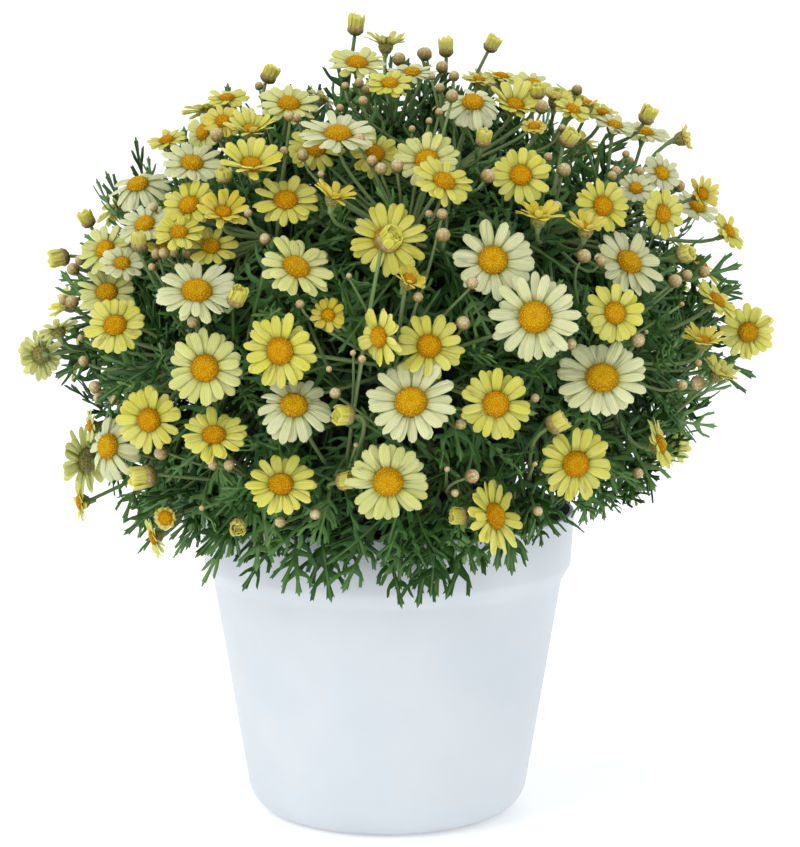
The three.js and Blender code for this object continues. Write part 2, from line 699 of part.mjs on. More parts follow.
// A bloom: a domed disc, a ring of keeled petals in two layers, the calyx and the stalk
function addBloom(shell, flower, seat) {
  const { place, axis, turn, sizes, form } = flower
  const { disc, reach, rise } = sizes
  const petals = petalCount(flower)
  const [first, second] = basisOf(axis, turn)
  const out = (angle) => first.clone().multiplyScalar(Math.cos(angle))
    .addScaledVector(second, Math.sin(angle))
  const step = (2 * Math.PI) / petals
  const notches = Array.from({ length: petals }, (_, i) => (
    shell.add(place.clone().addScaledVector(out((i - 0.5) * step), disc))))
  const keels = Array.from({ length: petals }, (_, i) => (
    shell.add(place.clone()
      .addScaledVector(out(i * step), disc * KEEL_SHARE)
      .addScaledVector(axis, -KEEL_DROP))))
  const halfWidth = PETAL_HALF_WIDTH[form] * step * (disc + reach * Math.cos(rise))
  for (let i = 0; i < petals; i += 1) {
    const angle = i * step
    const lift = rise + rad(i % 2 === 0 ? PETAL_LAYER : -PETAL_LAYER)
    const away = out(angle)
    const aside = out(angle + Math.PI / 2)
    const tip = place.clone()
      .addScaledVector(away, disc + reach * Math.cos(lift))
      .addScaledVector(axis, reach * Math.sin(lift))
    const left = shell.add(tip.clone().addScaledVector(aside, -halfWidth))
    const right = shell.add(tip.clone().addScaledVector(aside, halfWidth))
    const keel = shell.add(tip.clone()
      .addScaledVector(away, PETAL_THICKNESS * Math.sin(lift))
      .addScaledVector(axis, -PETAL_THICKNESS * Math.cos(lift)))
    const start = notches[i]
    const end = notches[(i + 1) % petals]
    shell.faces.push(
      [start, left, right],
      [start, right, end],
      [left, start, keels[i]],
      [left, keels[i], keel],
      [end, right, keel],
      [end, keel, keels[i]],
      [right, left, keel],
      [end, keels[i], keels[(i + 1) % petals]],
    )
  }
  shell.fan(shell.add(place.clone().addScaledVector(axis, DISC_DOME * disc)), notches)
  addStalk(shell, keels, flower, first, seat)
}

// A bud: a blunt knob on its stalk
function addBud(shell, flower, seat) {
  const { place, axis, turn, width, stretch } = flower
  const [first, second] = basisOf(axis, turn)
  const waist = place.clone().addScaledVector(axis, width * stretch * 0.5)
  const ring = shell.ring(waist, [first, second], width / 2, 4)
  shell.fan(shell.add(place.clone().addScaledVector(axis, width * stretch)), ring)
  addStalk(shell, ring, flower, first, seat)
}

function addFlower(shell, flower, seat) {
  if (flower.form === 'bud') addBud(shell, flower, seat)
  else addBloom(shell, flower, seat)
}

// The knob that a spray forks from: its points and its triangles
function forkShell(place) {
  const knob = new THREE.IcosahedronGeometry(FORK_RADIUS).translate(place.x, place.y, place.z)
  knob.deleteAttribute('normal')
  knob.deleteAttribute('uv')
  const merged = mergeVertices(knob)
  const shell = new Shell()
  for (let i = 0; i < merged.attributes.position.count; i += 1) {
    shell.add(new THREE.Vector3().fromBufferAttribute(merged.attributes.position, i))
  }
  for (let i = 0; i < merged.index.count; i += 3) {
    shell.faces.push([0, 1, 2].map((k) => merged.index.getX(i + k)))
  }
  return shell
}

// One flower by itself, its stalk closed at the seat
function loneFlower(flower, corners) {
  const shell = new Shell()
  const seat = corners.map((corner) => shell.add(corner.clone()))
  addFlower(shell, flower, seat)
  shell.faces.push([seat[0], seat[2], seat[1]])
  return shell.solid()
}

// A spray: each stalk grows out of the knob's face that looks its way. A stalk that would cross
// one before it there is run into the knob's middle and fused.
function growSpray(fork, flowers) {
  const knob = forkShell(fork.place)
  const faces = knob.faces.map((ids) => {
    const corners = ids.map((id) => knob.points[id])
    const middle = corners.reduce((sum, p) => sum.clone().add(p)).multiplyScalar(1 / 3)
    return { ids, corners, way: middle.sub(fork.place).normalize() }
  })
  const heart = knob.solid()
  const seated = []
  const parts = []
  const loose = []
  for (const flower of flowers) {
    const way = flower.path.at(-2).clone().sub(fork.place).normalize()
    const face = faces.filter(({ taken }) => !taken)
      .reduce((best, next) => (next.way.dot(way) > best.way.dot(way) ? next : best))
    const lone = loneFlower(flower, face.corners)
    const crosses = [heart, ...parts].some((other) => lone.intersect(other).volume() > 1e-3)
    if (crosses) {
      const middle = face.corners.map((corner) => corner.clone().lerp(fork.place, 0.6))
      loose.push(loneFlower(flower, middle))
    } else {
      face.taken = true
      parts.push(lone)
      seated.push([flower, face.ids])
    }
  }
  const shell = knob
  shell.faces = faces.filter(({ taken }) => !taken).map(({ ids }) => ids)
  seated.forEach(([flower, ids]) => addFlower(shell, flower, ids))
  return union([shell.solid(), ...loose])
}

function union(solids) {
  return solids.reduce((whole, next) => whole.add(next))
}

// Whether a solid comes nearer than the seat gap to any of some others
function touches(solid, others) {
  const box = solid.boundingBox()
  return others.some((other) => {
    const near = other.boundingBox()
    const apart = [0, 1, 2].some((k) => (
      box.min[k] > near.max[k] + SEAT_GAP || near.min[k] > box.max[k] + SEAT_GAP))
    return !apart && solid.minGap(other, 1) < SEAT_GAP
  })
}

// The stem's own wood: one stem, its three shoots and the wedge of leaf mass
function woodSolid(stem) {
  const trunk = tubeSolid(
    [stem.foot, stem.collar, stem.hub],
    [STEM_RADIUS, STEM_RADIUS, STEM_TOP_RADIUS],
    STEM_SIDES,
  )
  const shoots = stem.shoots.map(({ azimuth, elevation }) => {
    const fork = onBush(azimuth, elevation, SHOOT_TIP)
    const end = fork.clone().lerp(stem.hub, (FORK_RADIUS + SEAT_GAP) / fork.distanceTo(stem.hub))
    return tubeSolid([stem.hub, end], [SHOOT_ROOT_RADIUS, SHOOT_RADIUS], SHOOT_SIDES)
  })
  return union([trunk, coreSolid(stem), ...shoots])
}

// Which stem's share of the bush a place is in
function nearestStem(place) {
  const way = outward(place)
  const angle = (fork) => outward(fork.place).angleTo(way)
  return FORKS.reduce((best, fork) => (angle(fork) < angle(best) ? fork : best)).stem
}

// A leaf on a shoot, splayed off the way out by `splay`, with its length in shares of the usual
function leafOn(root, away, splay, length) {
  const way = outward(root)
  const along = way.clone().addScaledVector(away, splay).normalize()
  const face = way.clone().projectOnPlane(along).normalize()
  return leafSolid(root, along, face, LEAF_LENGTH * length)
}

// Leaves round each shoot, and over the rim from the low ones, kept only where clear of all else
function leavesOf(stem, index, obstacles, draw) {
  const leaves = []
  for (const { azimuth, elevation } of stem.shoots) {
    const tip = onBush(azimuth, elevation, SHOOT_TIP)
    const rounds = elevation < 0 ? LEAVES_PER_SHOOT + 1 : LEAVES_PER_SHOOT
    for (let k = 0; k < rounds; k += 1) {
      for (let attempt = 0; attempt < LEAF_ATTEMPTS; attempt += 1) {
        const root = stem.hub.clone().lerp(tip, between(LEAF_PLACES, draw()))
        const hangs = k === LEAVES_PER_SHOOT
        const way = outward(root)
        const [first] = basisOf(way, (k + 0.7 * draw()) * GOLDEN_ANGLE)
        const away = hangs ? first.multiplyScalar(draw() - 0.5).sub(UP) : first
        const splay = hangs ? HANGING_SPLAY : between(LEAF_SPLAYS, draw())
        const leaf = leafOn(root, away, splay, between(LEAF_LENGTHS, draw()))
        const reach = root.clone()
          .addScaledVector(way, 0.6 * LEAF_LENGTH)
          .addScaledVector(away, 0.4 * LEAF_LENGTH)
        if (nearestStem(reach) === index && !touches(leaf, obstacles) && !touches(leaf, leaves)) {
          leaves.push(leaf)
          break
        }
      }
    }
  }
  return leaves
}

function meshOf(name, solid, material) {
  const { vertProperties, triVerts } = solid.getMesh()
  const geometry = new THREE.BufferGeometry()
  geometry.setAttribute('position', new THREE.BufferAttribute(vertProperties, 3))
  geometry.setIndex(new THREE.BufferAttribute(triVerts, 1))
  geometry.computeVertexNormals()
  const mesh = new THREE.Mesh(geometry, material)
  mesh.name = name
  return mesh
}

const numbered = (name, index) => `${name}_${String(index + 1).padStart(2, '0')}`

function build() {
  const potMaterial = new THREE.MeshStandardMaterial({ color: 0xdde5ec, roughness: 0.45 })
  const soilMaterial = new THREE.MeshStandardMaterial({ color: 0x33261c, roughness: 1 })
  const leafMaterial = new THREE.MeshStandardMaterial({ color: 0x55775a, roughness: 0.7 })
  const petalMaterial = new THREE.MeshStandardMaterial({ color: 0xf2ea9a, roughness: 0.6 })
  const plant = new THREE.Group()
  const pot = lathe(potProfile())

  const nearestFirst = FRONT_BLOOMS.map(frontBloom).sort((a, b) => b.forward - a.forward)
  const heads = [...nearestFirst, ...backBlooms(), ...FRONT_BUDS.map(frontBud), ...backBuds()]
  const flowers = settle(heads)
  const sprays = FORKS.map((fork, index) => (
    growSpray(fork, flowers.filter((flower) => flower.fork === index))))

  const woods = STEMS.map(woodSolid)
  const draw = draws(21)
  const grown = []
  STEMS.forEach((stem, index) => {
    const others = woods.filter((_, k) => k !== index)
    const obstacles = [pot, ...others, ...sprays, ...grown]
    const leaves = leavesOf(stem, index, obstacles, draw)
    grown.push(...leaves)
    plant.add(meshOf(numbered('leafy_stem', index), union([woods[index], ...leaves]), leafMaterial))
  })

  sprays.forEach((spray, index) => {
    plant.add(meshOf(numbered('flower_spray', index), spray, petalMaterial))
  })

  const holes = STEMS.map(({ foot, collar }) => tubeSolid(
    [foot.clone().setZ(foot.z - SEAT_GAP), collar],
    [STEM_RADIUS + HOLE_GAP, STEM_RADIUS + HOLE_GAP],
    STEM_SIDES,
  ))
  const soil = holes.reduce((left, hole) => left.subtract(hole), lathe(soilProfile()))
  plant.add(meshOf('pot', pot, potMaterial))
  plant.add(meshOf('soil', soil, soilMaterial))
  return plant
}

export default build()
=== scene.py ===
# %% [markdown]
# # A potted marguerite daisy
# A marguerite grows as a ball: a handful of stems leave the soil, branch again and again, and
# carry finely cut leaves, and above the leaves stand the daisies on thin stalks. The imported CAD
# model already says where each stem, each spray and each head is. This lesson dresses it: every
# CAD solid of the plant gives its place to a finer piece of the same form, and each surface gets
# a finish made of nodes.

# %% Load the frame
import math

import bmesh
import bpy
import numpy as np
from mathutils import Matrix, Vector


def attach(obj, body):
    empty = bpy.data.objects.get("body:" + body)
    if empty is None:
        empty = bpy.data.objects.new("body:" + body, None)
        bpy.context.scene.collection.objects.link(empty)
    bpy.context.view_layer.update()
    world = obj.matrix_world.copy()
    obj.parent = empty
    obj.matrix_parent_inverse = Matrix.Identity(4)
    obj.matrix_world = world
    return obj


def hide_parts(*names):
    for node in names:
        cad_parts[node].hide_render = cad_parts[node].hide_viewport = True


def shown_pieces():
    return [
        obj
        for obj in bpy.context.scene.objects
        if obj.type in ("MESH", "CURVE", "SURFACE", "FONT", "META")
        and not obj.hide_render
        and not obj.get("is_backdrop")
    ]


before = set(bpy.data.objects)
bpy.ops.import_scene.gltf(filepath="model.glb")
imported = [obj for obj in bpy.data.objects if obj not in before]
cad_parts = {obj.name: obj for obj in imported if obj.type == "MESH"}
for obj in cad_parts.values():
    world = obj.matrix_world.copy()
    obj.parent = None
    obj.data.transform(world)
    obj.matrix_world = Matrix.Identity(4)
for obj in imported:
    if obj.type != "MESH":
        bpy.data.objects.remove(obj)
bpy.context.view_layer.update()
MM = 0.001

# %% [markdown]
# ## The camera
# The picture was taken from a little above the pot, with a long lens that keeps the pot's sides
# nearly straight. The camera stands 1.6 m off and looks 7.74 degrees down. The same numbers turn
# a pixel of the picture into a line of sight, so they are kept by name and used again when the
# flowers are placed.

# %% Camera
EYE_DISTANCE = 1600
EYE_HEIGHT = 460
EYE_PITCH = math.radians(7.74)
FOCAL_PIXELS = 2597
PICTURE_WIDTH, PICTURE_HEIGHT = 800, 847
AXIS_COLUMN = 387.5
MIDDLE_ROW = PICTURE_HEIGHT / 2
SENSOR = 36

bpy.ops.object.camera_add(
    location=(0, -EYE_DISTANCE * MM, EYE_HEIGHT * MM),
    rotation=(math.pi / 2 - EYE_PITCH, 0, 0),
)
camera = bpy.context.object
camera.name = "camera"
camera.data.sensor_fit = "VERTICAL"
camera.data.sensor_height = SENSOR
camera.data.lens = SENSOR * FOCAL_PIXELS / PICTURE_HEIGHT
camera.data.shift_x = (PICTURE_WIDTH / 2 - AXIS_COLUMN) / PICTURE_HEIGHT
camera.data.clip_end = 30
bpy.context.scene.camera = camera
print("lens", round(camera.data.lens, 1), "mm")

# %% [markdown]
# ## Selecting in code
# An operator acts on whatever is selected, and the loaded CAD parts come in selected. So
# everything is deselected before a new piece is begun. In edit mode a test then picks points or
# edges by their place, as a modeller would pick them by eye.

# %% Selecting
def clear_selection():
    """Leaves edit mode and deselects everything, CAD nodes included."""
    if bpy.context.object and bpy.context.object.mode != "OBJECT":
        bpy.ops.object.mode_set(mode="OBJECT")
    bpy.ops.object.select_all(action="DESELECT")


def select_where(obj, kind, test):
    """Selects the points, edges or faces of a mesh in edit mode that pass a test."""
    bpy.ops.mesh.select_mode(type={"verts": "VERT", "edges": "EDGE", "faces": "FACE"}[kind])
    bpy.ops.mesh.select_all(action="DESELECT")
    mesh = bmesh.from_edit_mesh(obj.data)
    for item in getattr(mesh, kind):
        item.select_set(test(item))
    bmesh.update_edit_mesh(obj.data)

# %% [markdown]
# ## The studio
# The picture has a pure white ground. A pale paper floor runs out on all sides and rolls up into
# a low wall, like the cove of a studio, so that no horizon line shows from any side. It is a
# disc whose rim is extruded outwards and upwards in short steps along an arc. The light is
# nearly the same from everywhere, as in a white tent: the pale world and the paper give most of
# it, and one large soft lamp at the upper left gives the shapes their light side.

# %% Paper floor
FLOOR_RADIUS = 3.6
FLOOR_SIDES = 96
SWEEP_RADIUS = 1.6
SWEEP_STEPS = 12
WALL_RISE = 1.2

clear_selection()
bpy.ops.mesh.primitive_circle_add(vertices=FLOOR_SIDES, radius=FLOOR_RADIUS, fill_type="NGON")
floor = bpy.context.object
floor.name = "floor"
bpy.ops.object.mode_set(mode="EDIT")
select_where(floor, "edges", lambda edge: True)
reach = FLOOR_RADIUS
for step in range(SWEEP_STEPS):
    turn = math.pi / 2 * (step + 0.5) / SWEEP_STEPS
    stride = SWEEP_RADIUS * math.pi / 2 / SWEEP_STEPS
    wider = (reach + stride * math.cos(turn)) / reach
    bpy.ops.mesh.extrude_edges_move(TRANSFORM_OT_translate={"value": (0, 0, stride * math.sin(turn))})
    bpy.ops.transform.resize(value=(wider, wider, 1), center_override=(0, 0, 0))
    reach *= wider
bpy.ops.mesh.extrude_edges_move(TRANSFORM_OT_translate={"value": (0, 0, WALL_RISE)})
bpy.ops.mesh.select_all(action="SELECT")
bpy.ops.mesh.normals_make_consistent(inside=True)
bpy.ops.object.mode_set(mode="OBJECT")
bpy.ops.object.shade_smooth()
floor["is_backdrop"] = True
print("floor", len(floor.data.polygons), "faces")

# %% Lamps and air
def soft_lamp(name, place, aim, size, power, colour):
    """A large square lamp at a place, turned towards another."""
    bpy.ops.object.light_add(type="AREA", location=place)
    lamp = bpy.context.object
    lamp.name = name
    lamp.data.size = size
    lamp.data.energy = power
    lamp.data.color = colour
    lamp.rotation_euler = (Vector(aim) - Vector(place)).to_track_quat("-Z", "Y").to_euler()
    return lamp


PLANT_MIDDLE = (0, 0, 0.28)
AIR_COLOUR = (0.95, 0.97, 1.0, 1)
AIR_STRENGTH = 0.8
soft_lamp("key_lamp", (-1.5, -1.7, 2.0), PLANT_MIDDLE, 1.3, 20, (1.0, 0.99, 0.97))
soft_lamp("back_lamp", (0.4, 2.2, 2.2), PLANT_MIDDLE, 1.6, 12, (1.0, 1.0, 1.0))

world = bpy.data.worlds.new("studio_air")
world.use_nodes = True
world.node_tree.nodes["Background"].inputs["Color"].default_value = AIR_COLOUR
world.node_tree.nodes["Background"].inputs["Strength"].default_value = AIR_STRENGTH
bpy.context.scene.world = world
bpy.context.scene.view_settings.view_transform = "Standard"

# %% [markdown]
# ## Finishes from nodes
# Every finish is one Principled shader with a few nodes in front of it. Written node by node
# that is long, so a socket is wrapped in a small class: adding or multiplying two wrapped
# sockets adds the Math node that does it. Colours are never added that way, because a Math
# node would turn them grey, so they are mixed with Mix nodes instead.

# %% Numbers and colours between nodes
class Wire:
    """A number or colour that comes out of a node."""

    def __init__(self, finish, socket):
        self.finish = finish
        self.socket = socket

    def __add__(self, other):
        return self.finish.maths("ADD", self, other)

    def __sub__(self, other):
        return self.finish.maths("SUBTRACT", self, other)

    def __rsub__(self, other):
        return self.finish.maths("SUBTRACT", other, self)

    def __mul__(self, other):
        return self.finish.maths("MULTIPLY", self, other)

    __radd__ = __add__
    __rmul__ = __mul__

# %% A finish
class Finish:
    """A material made of nodes round one Principled shader."""

    def __init__(self, name, **constants):
        self.material = bpy.data.materials.new(name)
        self.material.use_nodes = True
        self.tree = self.material.node_tree
        self.shader = self.tree.nodes["Principled BSDF"]
        for socket, value in constants.items():
            self.shader.inputs[socket.replace("_", " ")].default_value = value

    def node(self, kind, settings=None, inputs=None, output=0):
        made = self.tree.nodes.new(kind)
        for name, value in (settings or {}).items():
            if name == "stops":
                ramp = made.color_ramp.elements
                while len(ramp) < len(value):
                    ramp.new(0.5)
                for element, (position, colour) in zip(ramp, value):
                    element.position = position
                    element.color = colour
            else:
                setattr(made, name, value)
        for name, value in (inputs or {}).items():
            if isinstance(value, Wire):
                self.tree.links.new(value.socket, made.inputs[name])
            else:
                made.inputs[name].default_value = value
        return Wire(self, made.outputs[output])

    def maths(self, operation, *values):
        return self.node("ShaderNodeMath", {"operation": operation}, dict(enumerate(values)))

    def mix(self, share, first, second):
        """The first colour where share is 0, and the second where it is 1."""
        return self.node("ShaderNodeMix", {"data_type": "RGBA"}, {0: share, 6: first, 7: second}, 2)

    def ramp(self, value, *stops):
        return self.node("ShaderNodeValToRGB", {"stops": stops}, {0: value})

    def mask(self, value, low, high):
        """0 below one value and 1 above another, smooth between them."""
        return self.node(
            "ShaderNodeMapRange", {"interpolation_type": "SMOOTHSTEP"}, {0: value, 1: low, 2: high})

    def noise(self, scale, detail=2, where=None):
        where = where or self.node("ShaderNodeTexCoord", output=3)
        return self.node("ShaderNodeTexNoise", None, {"Vector": where, "Scale": scale, "Detail": detail})

    def attribute(self, name):
        return self.node("ShaderNodeAttribute", {"attribute_name": name}, output=2)

    def shape(self, axis):
        """The piece's own lengthways (0) or crossways (1) coordinate, from its UV map."""
        plane = self.node("ShaderNodeUVMap", {"uv_map": SHAPE_MAP})
        return self.node("ShaderNodeSeparateXYZ", None, {0: plane}, axis)

    def bump(self, height, strength, distance):
        relief = self.node(
            "ShaderNodeBump", None, {"Strength": strength, "Distance": distance, "Height": height})
        self.feed("Normal", relief)

    def feed(self, socket, value):
        self.tree.links.new(value.socket, self.shader.inputs[socket])

# %% Colours, and the floor's paper
SHAPE_MAP = "shape"
TONE = "tone"


def light(red, green, blue):
    """A colour as seen on a screen, 0 to 255, as the light values that a node takes."""
    return tuple((value / 255) ** 2.2 for value in (red, green, blue)) + (1,)


paper = Finish("pale_paper", Roughness=0.9, Emission_Color=(1, 1, 1, 1), Emission_Strength=0.25)
grain = paper.noise(7)
paper.feed("Base Color", paper.mix(grain, light(244, 245, 247), light(250, 250, 251)))
floor.data.materials.append(paper.material)
print("the paper has", len(paper.tree.nodes), "nodes")

# %% [markdown]
# ## The pot
# The pot is a plain matt plastic bucket: a foot with a rounded edge, a wall that leans out, a
# sloped ledge and a collar that ends in a small lip. It is turned work, so it starts as a disc
# and grows ring by ring: each extrusion lifts the top face to the next height and scales it to
# the next radius. The inside goes down the same way, so wall and floor have their thickness.

# %% Measures of the pot
POT_HEIGHT = 190
BASE_RADIUS = 84.7
LEDGE_RADIUS = 108.9
LEDGE_HEIGHT = 147.5
COLLAR_HEIGHT = 156
COLLAR_RADIUS = 114.4
RIM_RADIUS = 116.4
RIM_LIP = 1.4
FOOT_FILLET = 20
FILLET_STEPS = 7
WALL = 2.8
POT_SIDES = 128
LIP_STEPS = 3
WALL_LEAN = math.atan2(LEDGE_RADIUS - BASE_RADIUS, LEDGE_HEIGHT)
# How far the ledge's two edges are rounded, and a height at which the long wall gets a ring
EASE = 2.2
WALL_RING = 80
SMOOTH_BELOW = math.radians(35)


def wall_radius(height):
    return BASE_RADIUS + (LEDGE_RADIUS - BASE_RADIUS) * height / LEDGE_HEIGHT


FILLET_CENTRE = wall_radius(FOOT_FILLET) - FOOT_FILLET / math.cos(WALL_LEAN)
print("the wall leans out", round(math.degrees(WALL_LEAN), 1), "degrees")

# %% Rings of the pot
def pot_outside():
    """(radius, height) pairs up the outside, with the foot, the ledge and the lip rounded."""
    rings = []
    for step in range(FILLET_STEPS + 1):
        angle = -math.pi / 2 + (math.pi / 2 - WALL_LEAN) * step / FILLET_STEPS
        rings.append((FILLET_CENTRE + FOOT_FILLET * math.cos(angle),
                      FOOT_FILLET + FOOT_FILLET * math.sin(angle)))
    rings += [
        (wall_radius(WALL_RING), WALL_RING),
        (wall_radius(LEDGE_HEIGHT - EASE), LEDGE_HEIGHT - EASE),
        (LEDGE_RADIUS + 0.3, LEDGE_HEIGHT + 0.3),
        (LEDGE_RADIUS + EASE, LEDGE_HEIGHT + EASE * 1.3),
        (COLLAR_RADIUS - EASE * 0.7, COLLAR_HEIGHT - EASE),
        (COLLAR_RADIUS - 0.15, COLLAR_HEIGHT + 0.2),
        (COLLAR_RADIUS + 0.15, COLLAR_HEIGHT + EASE),
    ]
    for step in range(LIP_STEPS + 1):
        angle = math.pi / 2 * step / LIP_STEPS
        rings.append((RIM_RADIUS - RIM_LIP * (1 - math.cos(angle)),
                      POT_HEIGHT - RIM_LIP * (1 - math.sin(angle))))
    return rings


def pot_inside():
    """The same down the inside, a wall's thickness further in."""
    return [
        (RIM_RADIUS - WALL, POT_HEIGHT),
        (COLLAR_RADIUS - WALL, COLLAR_HEIGHT),
        (LEDGE_RADIUS - WALL, LEDGE_HEIGHT),
        (wall_radius(FOOT_FILLET) - WALL, FOOT_FILLET),
        (FILLET_CENTRE, WALL),
    ]

# %% Turning a round body
def turned(name, rings, sides):
    """A round body: a disc at the first ring, extruded to each next ring."""
    clear_selection()
    radius, height = rings[0]
    bpy.ops.mesh.primitive_circle_add(vertices=sides, radius=radius * MM, fill_type="NGON")
    body = bpy.context.object
    body.name = name
    bpy.ops.object.mode_set(mode="EDIT")
    bpy.ops.mesh.select_mode(type="FACE")
    bpy.ops.mesh.select_all(action="SELECT")
    bpy.ops.transform.translate(value=(0, 0, height * MM))
    for wider, higher in rings[1:]:
        bpy.ops.mesh.extrude_region_move(
            TRANSFORM_OT_translate={"value": (0, 0, (higher - height) * MM)})
        bpy.ops.transform.resize(
            value=(wider / radius, wider / radius, 1), center_override=(0, 0, higher * MM))
        radius, height = wider, higher
    bpy.ops.mesh.select_all(action="SELECT")
    bpy.ops.mesh.normals_make_consistent(inside=False)
    bpy.ops.object.mode_set(mode="OBJECT")
    return body


def stands_for(piece, slot, *nodes):
    """The piece rides with the plant and hides its CAD nodes; the slot is not used."""
    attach(piece, "root")
    if nodes:
        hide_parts(*nodes)

# %% Pot
pot = turned("plain_pot", pot_outside() + pot_inside(), POT_SIDES)
bpy.ops.object.shade_smooth_by_angle(angle=SMOOTH_BELOW)
plastic = Finish("matt_plastic", Roughness=0.42)
broad = plastic.noise(14, 3)
fine = plastic.noise(900, 2)
plastic.feed("Base Color", plastic.mix(
    plastic.mask(broad, 0.3, 0.7), light(204, 211, 216), light(211, 217, 221)))
plastic.feed("Roughness", 0.38 + 0.1 * plastic.noise(35, 4))
plastic.bump(fine + 1.4 * plastic.noise(160, 3), 0.12, 0.0004)
pot.data.materials.append(plastic.material)
stands_for(pot, "pot", "pot")
print("pot", len(pot.data.polygons), "faces")

# %% [markdown]
# ## The soil
# The soil is crumbly peat that fills the pot to a finger's width under the rim, where the
# leaves all but hide it. It is turned like the pot, then its top is cut into rings and sectors
# and roughened with a noise-driven Displace modifier, which makes lumps that a bump alone
# wouldn't show at the edge.

# %% Soil
SOIL_TOP = 172
SOIL_CROWN = 3
SOIL_GAP = 0.6
SOIL_SIDES = 72
# The rings of the top, as shares of its radius
TOP_RINGS = (0.9, 0.8, 0.7, 0.6, 0.5, 0.4, 0.3, 0.2, 0.1, 0.02)
ROUGH_RADIUS = 104
CRUMB_SIZE = 9
CRUMB_HEIGHT = 7


def soil_rings():
    wall = WALL + SOIL_GAP
    rings = [
        (FILLET_CENTRE, wall),
        (wall_radius(FOOT_FILLET) - wall, FOOT_FILLET),
        (LEDGE_RADIUS - wall, LEDGE_HEIGHT),
        (COLLAR_RADIUS - wall, COLLAR_HEIGHT),
        (COLLAR_RADIUS - wall, SOIL_TOP - SOIL_CROWN),
    ]
    for share in TOP_RINGS:
        rings.append(((COLLAR_RADIUS - wall) * share, SOIL_TOP - SOIL_CROWN * share ** 2))
    return rings


soil = turned("peat_soil", soil_rings(), SOIL_SIDES)
crumbs = bpy.data.textures.new("crumbs", "CLOUDS")
crumbs.noise_scale = CRUMB_SIZE * MM
soil.vertex_groups.new(name="surface").add(
    [v.index for v in soil.data.vertices
     if v.co.z > (SOIL_TOP - SOIL_CROWN - 1) * MM and v.co.xy.length < ROUGH_RADIUS * MM],
    1, "REPLACE")
rough = soil.modifiers.new("crumbs", "DISPLACE")
rough.texture = crumbs
rough.texture_coords = "LOCAL"
rough.direction = "Z"
rough.strength = CRUMB_HEIGHT * MM
rough.vertex_group = "surface"
bpy.ops.object.modifier_apply(modifier=rough.name)
print("soil", len(soil.data.polygons), "faces")

# %% Soil finish
peat = Finish("peat", Roughness=0.95)
lumps = peat.node("ShaderNodeTexVoronoi", None, {
    "Vector": peat.node("ShaderNodeTexCoord", output=3), "Scale": 260})
peat.feed("Base Color", peat.ramp(
    peat.noise(180, 5),
    (0.3, light(24, 17, 12)), (0.55, light(58, 42, 31)), (0.75, light(96, 76, 58))))
peat.bump(lumps + peat.noise(500, 4), 0.8, 0.002)
soil.data.materials.append(peat.material)
stands_for(soil, "soil", "soil")

# %% [markdown]
# ## Where everything grows
# The heads of the daisies lie on an egg-shaped shell round the pot, and each one that the
# picture shows is put on that shell by the line of sight through its pixel. Each then takes the
# nearest fork with room, and slides along its line of sight until it is clear of its neighbours.
# The CAD solids were placed by the same rules and values, so the rules are repeated here in
# millimetres, and the finer pieces land where the solids are.

# %% Places on the bush
BUSH_CENTRE = np.array([4.0, 0.0, 285.0])
BUSH_RADII = np.array([214.0, 200.0, 186.0])
GOLDEN_ANGLE = math.pi * (3 - math.sqrt(5))
UP = np.array([0.0, 0.0, 1.0])


def unit(vector):
    return vector / np.linalg.norm(vector)


def draws(seed):
    """A repeatable row of draws between 0 and 1."""
    state = seed
    while True:
        state = (state * 1664525 + 1013904223) % 4294967296
        yield state / 4294967296


def on_bush(azimuth, elevation, share):
    """A place at an azimuth (0 at the front, 90 at +X) and elevation, at a share of the shell."""
    turn, rise = math.radians(azimuth), math.radians(elevation)
    way = np.array([math.cos(rise) * math.sin(turn), -math.cos(rise) * math.cos(turn), math.sin(rise)])
    return way * BUSH_RADII * share + BUSH_CENTRE


def outward(place):
    """The way out of the bush at a place."""
    return unit((place - BUSH_CENTRE) / BUSH_RADII / BUSH_RADII)


def basis_of(axis, turn=0.0):
    """Two directions square to an axis, turned about it by an angle."""
    helper = np.array([1.0, 0.0, 0.0]) if abs(axis[2]) > 0.9 else UP
    first = unit(np.cross(helper, axis))
    first = first * math.cos(turn) + np.cross(axis, first) * math.sin(turn)
    return first, np.cross(axis, first)

# %% Stems and forks
STEM_DEPTH = 40
STEM_COLLAR = 8
SHOOT_TIP = 0.74
# Rings of stems: how many, the first one's azimuth, the foot's radius, the hub's share of the
# shell's radius, its elevation, and its shoots as (azimuth off the stem's own, elevation)
STEM_RINGS = [
    (8, 0, 48, 0.42, -2, [(-12, -27), (12, -27), (0, 4)]),
    (5, 22, 26, 0.42, 44, [(-19, 34), (19, 34), (0, 56)]),
    (1, 0, 0, 0.42, 88, [(0, 76), (120, 76), (240, 76)]),
]

stems = []
for count, first_azimuth, foot_radius, hub_share, lift, shoots in STEM_RINGS:
    for k in range(count):
        azimuth = first_azimuth + 360 / count * k
        turn = math.radians(azimuth)
        foot = foot_radius * np.array([math.sin(turn), -math.cos(turn), 0])
        stems.append({
            "foot": foot + UP * (SOIL_TOP - STEM_DEPTH),
            "collar": foot + UP * (SOIL_TOP + STEM_COLLAR),
            "hub": on_bush(azimuth, lift, hub_share),
            "shoots": [(azimuth + off, elevation) for off, elevation in shoots],
        })
forks = [
    {"stem": index, "place": on_bush(*shoot, SHOOT_TIP)}
    for index, stem in enumerate(stems) for shoot in stem["shoots"]
]
print(len(stems), "stems,", len(forks), "forks")

# %% Sight lines
EYE = np.array([0.0, -EYE_DISTANCE, EYE_HEIGHT])
EYE_FORWARD = np.array([0.0, math.cos(EYE_PITCH), -math.sin(EYE_PITCH)])
EYE_UP = np.array([0.0, math.sin(EYE_PITCH), math.cos(EYE_PITCH)])


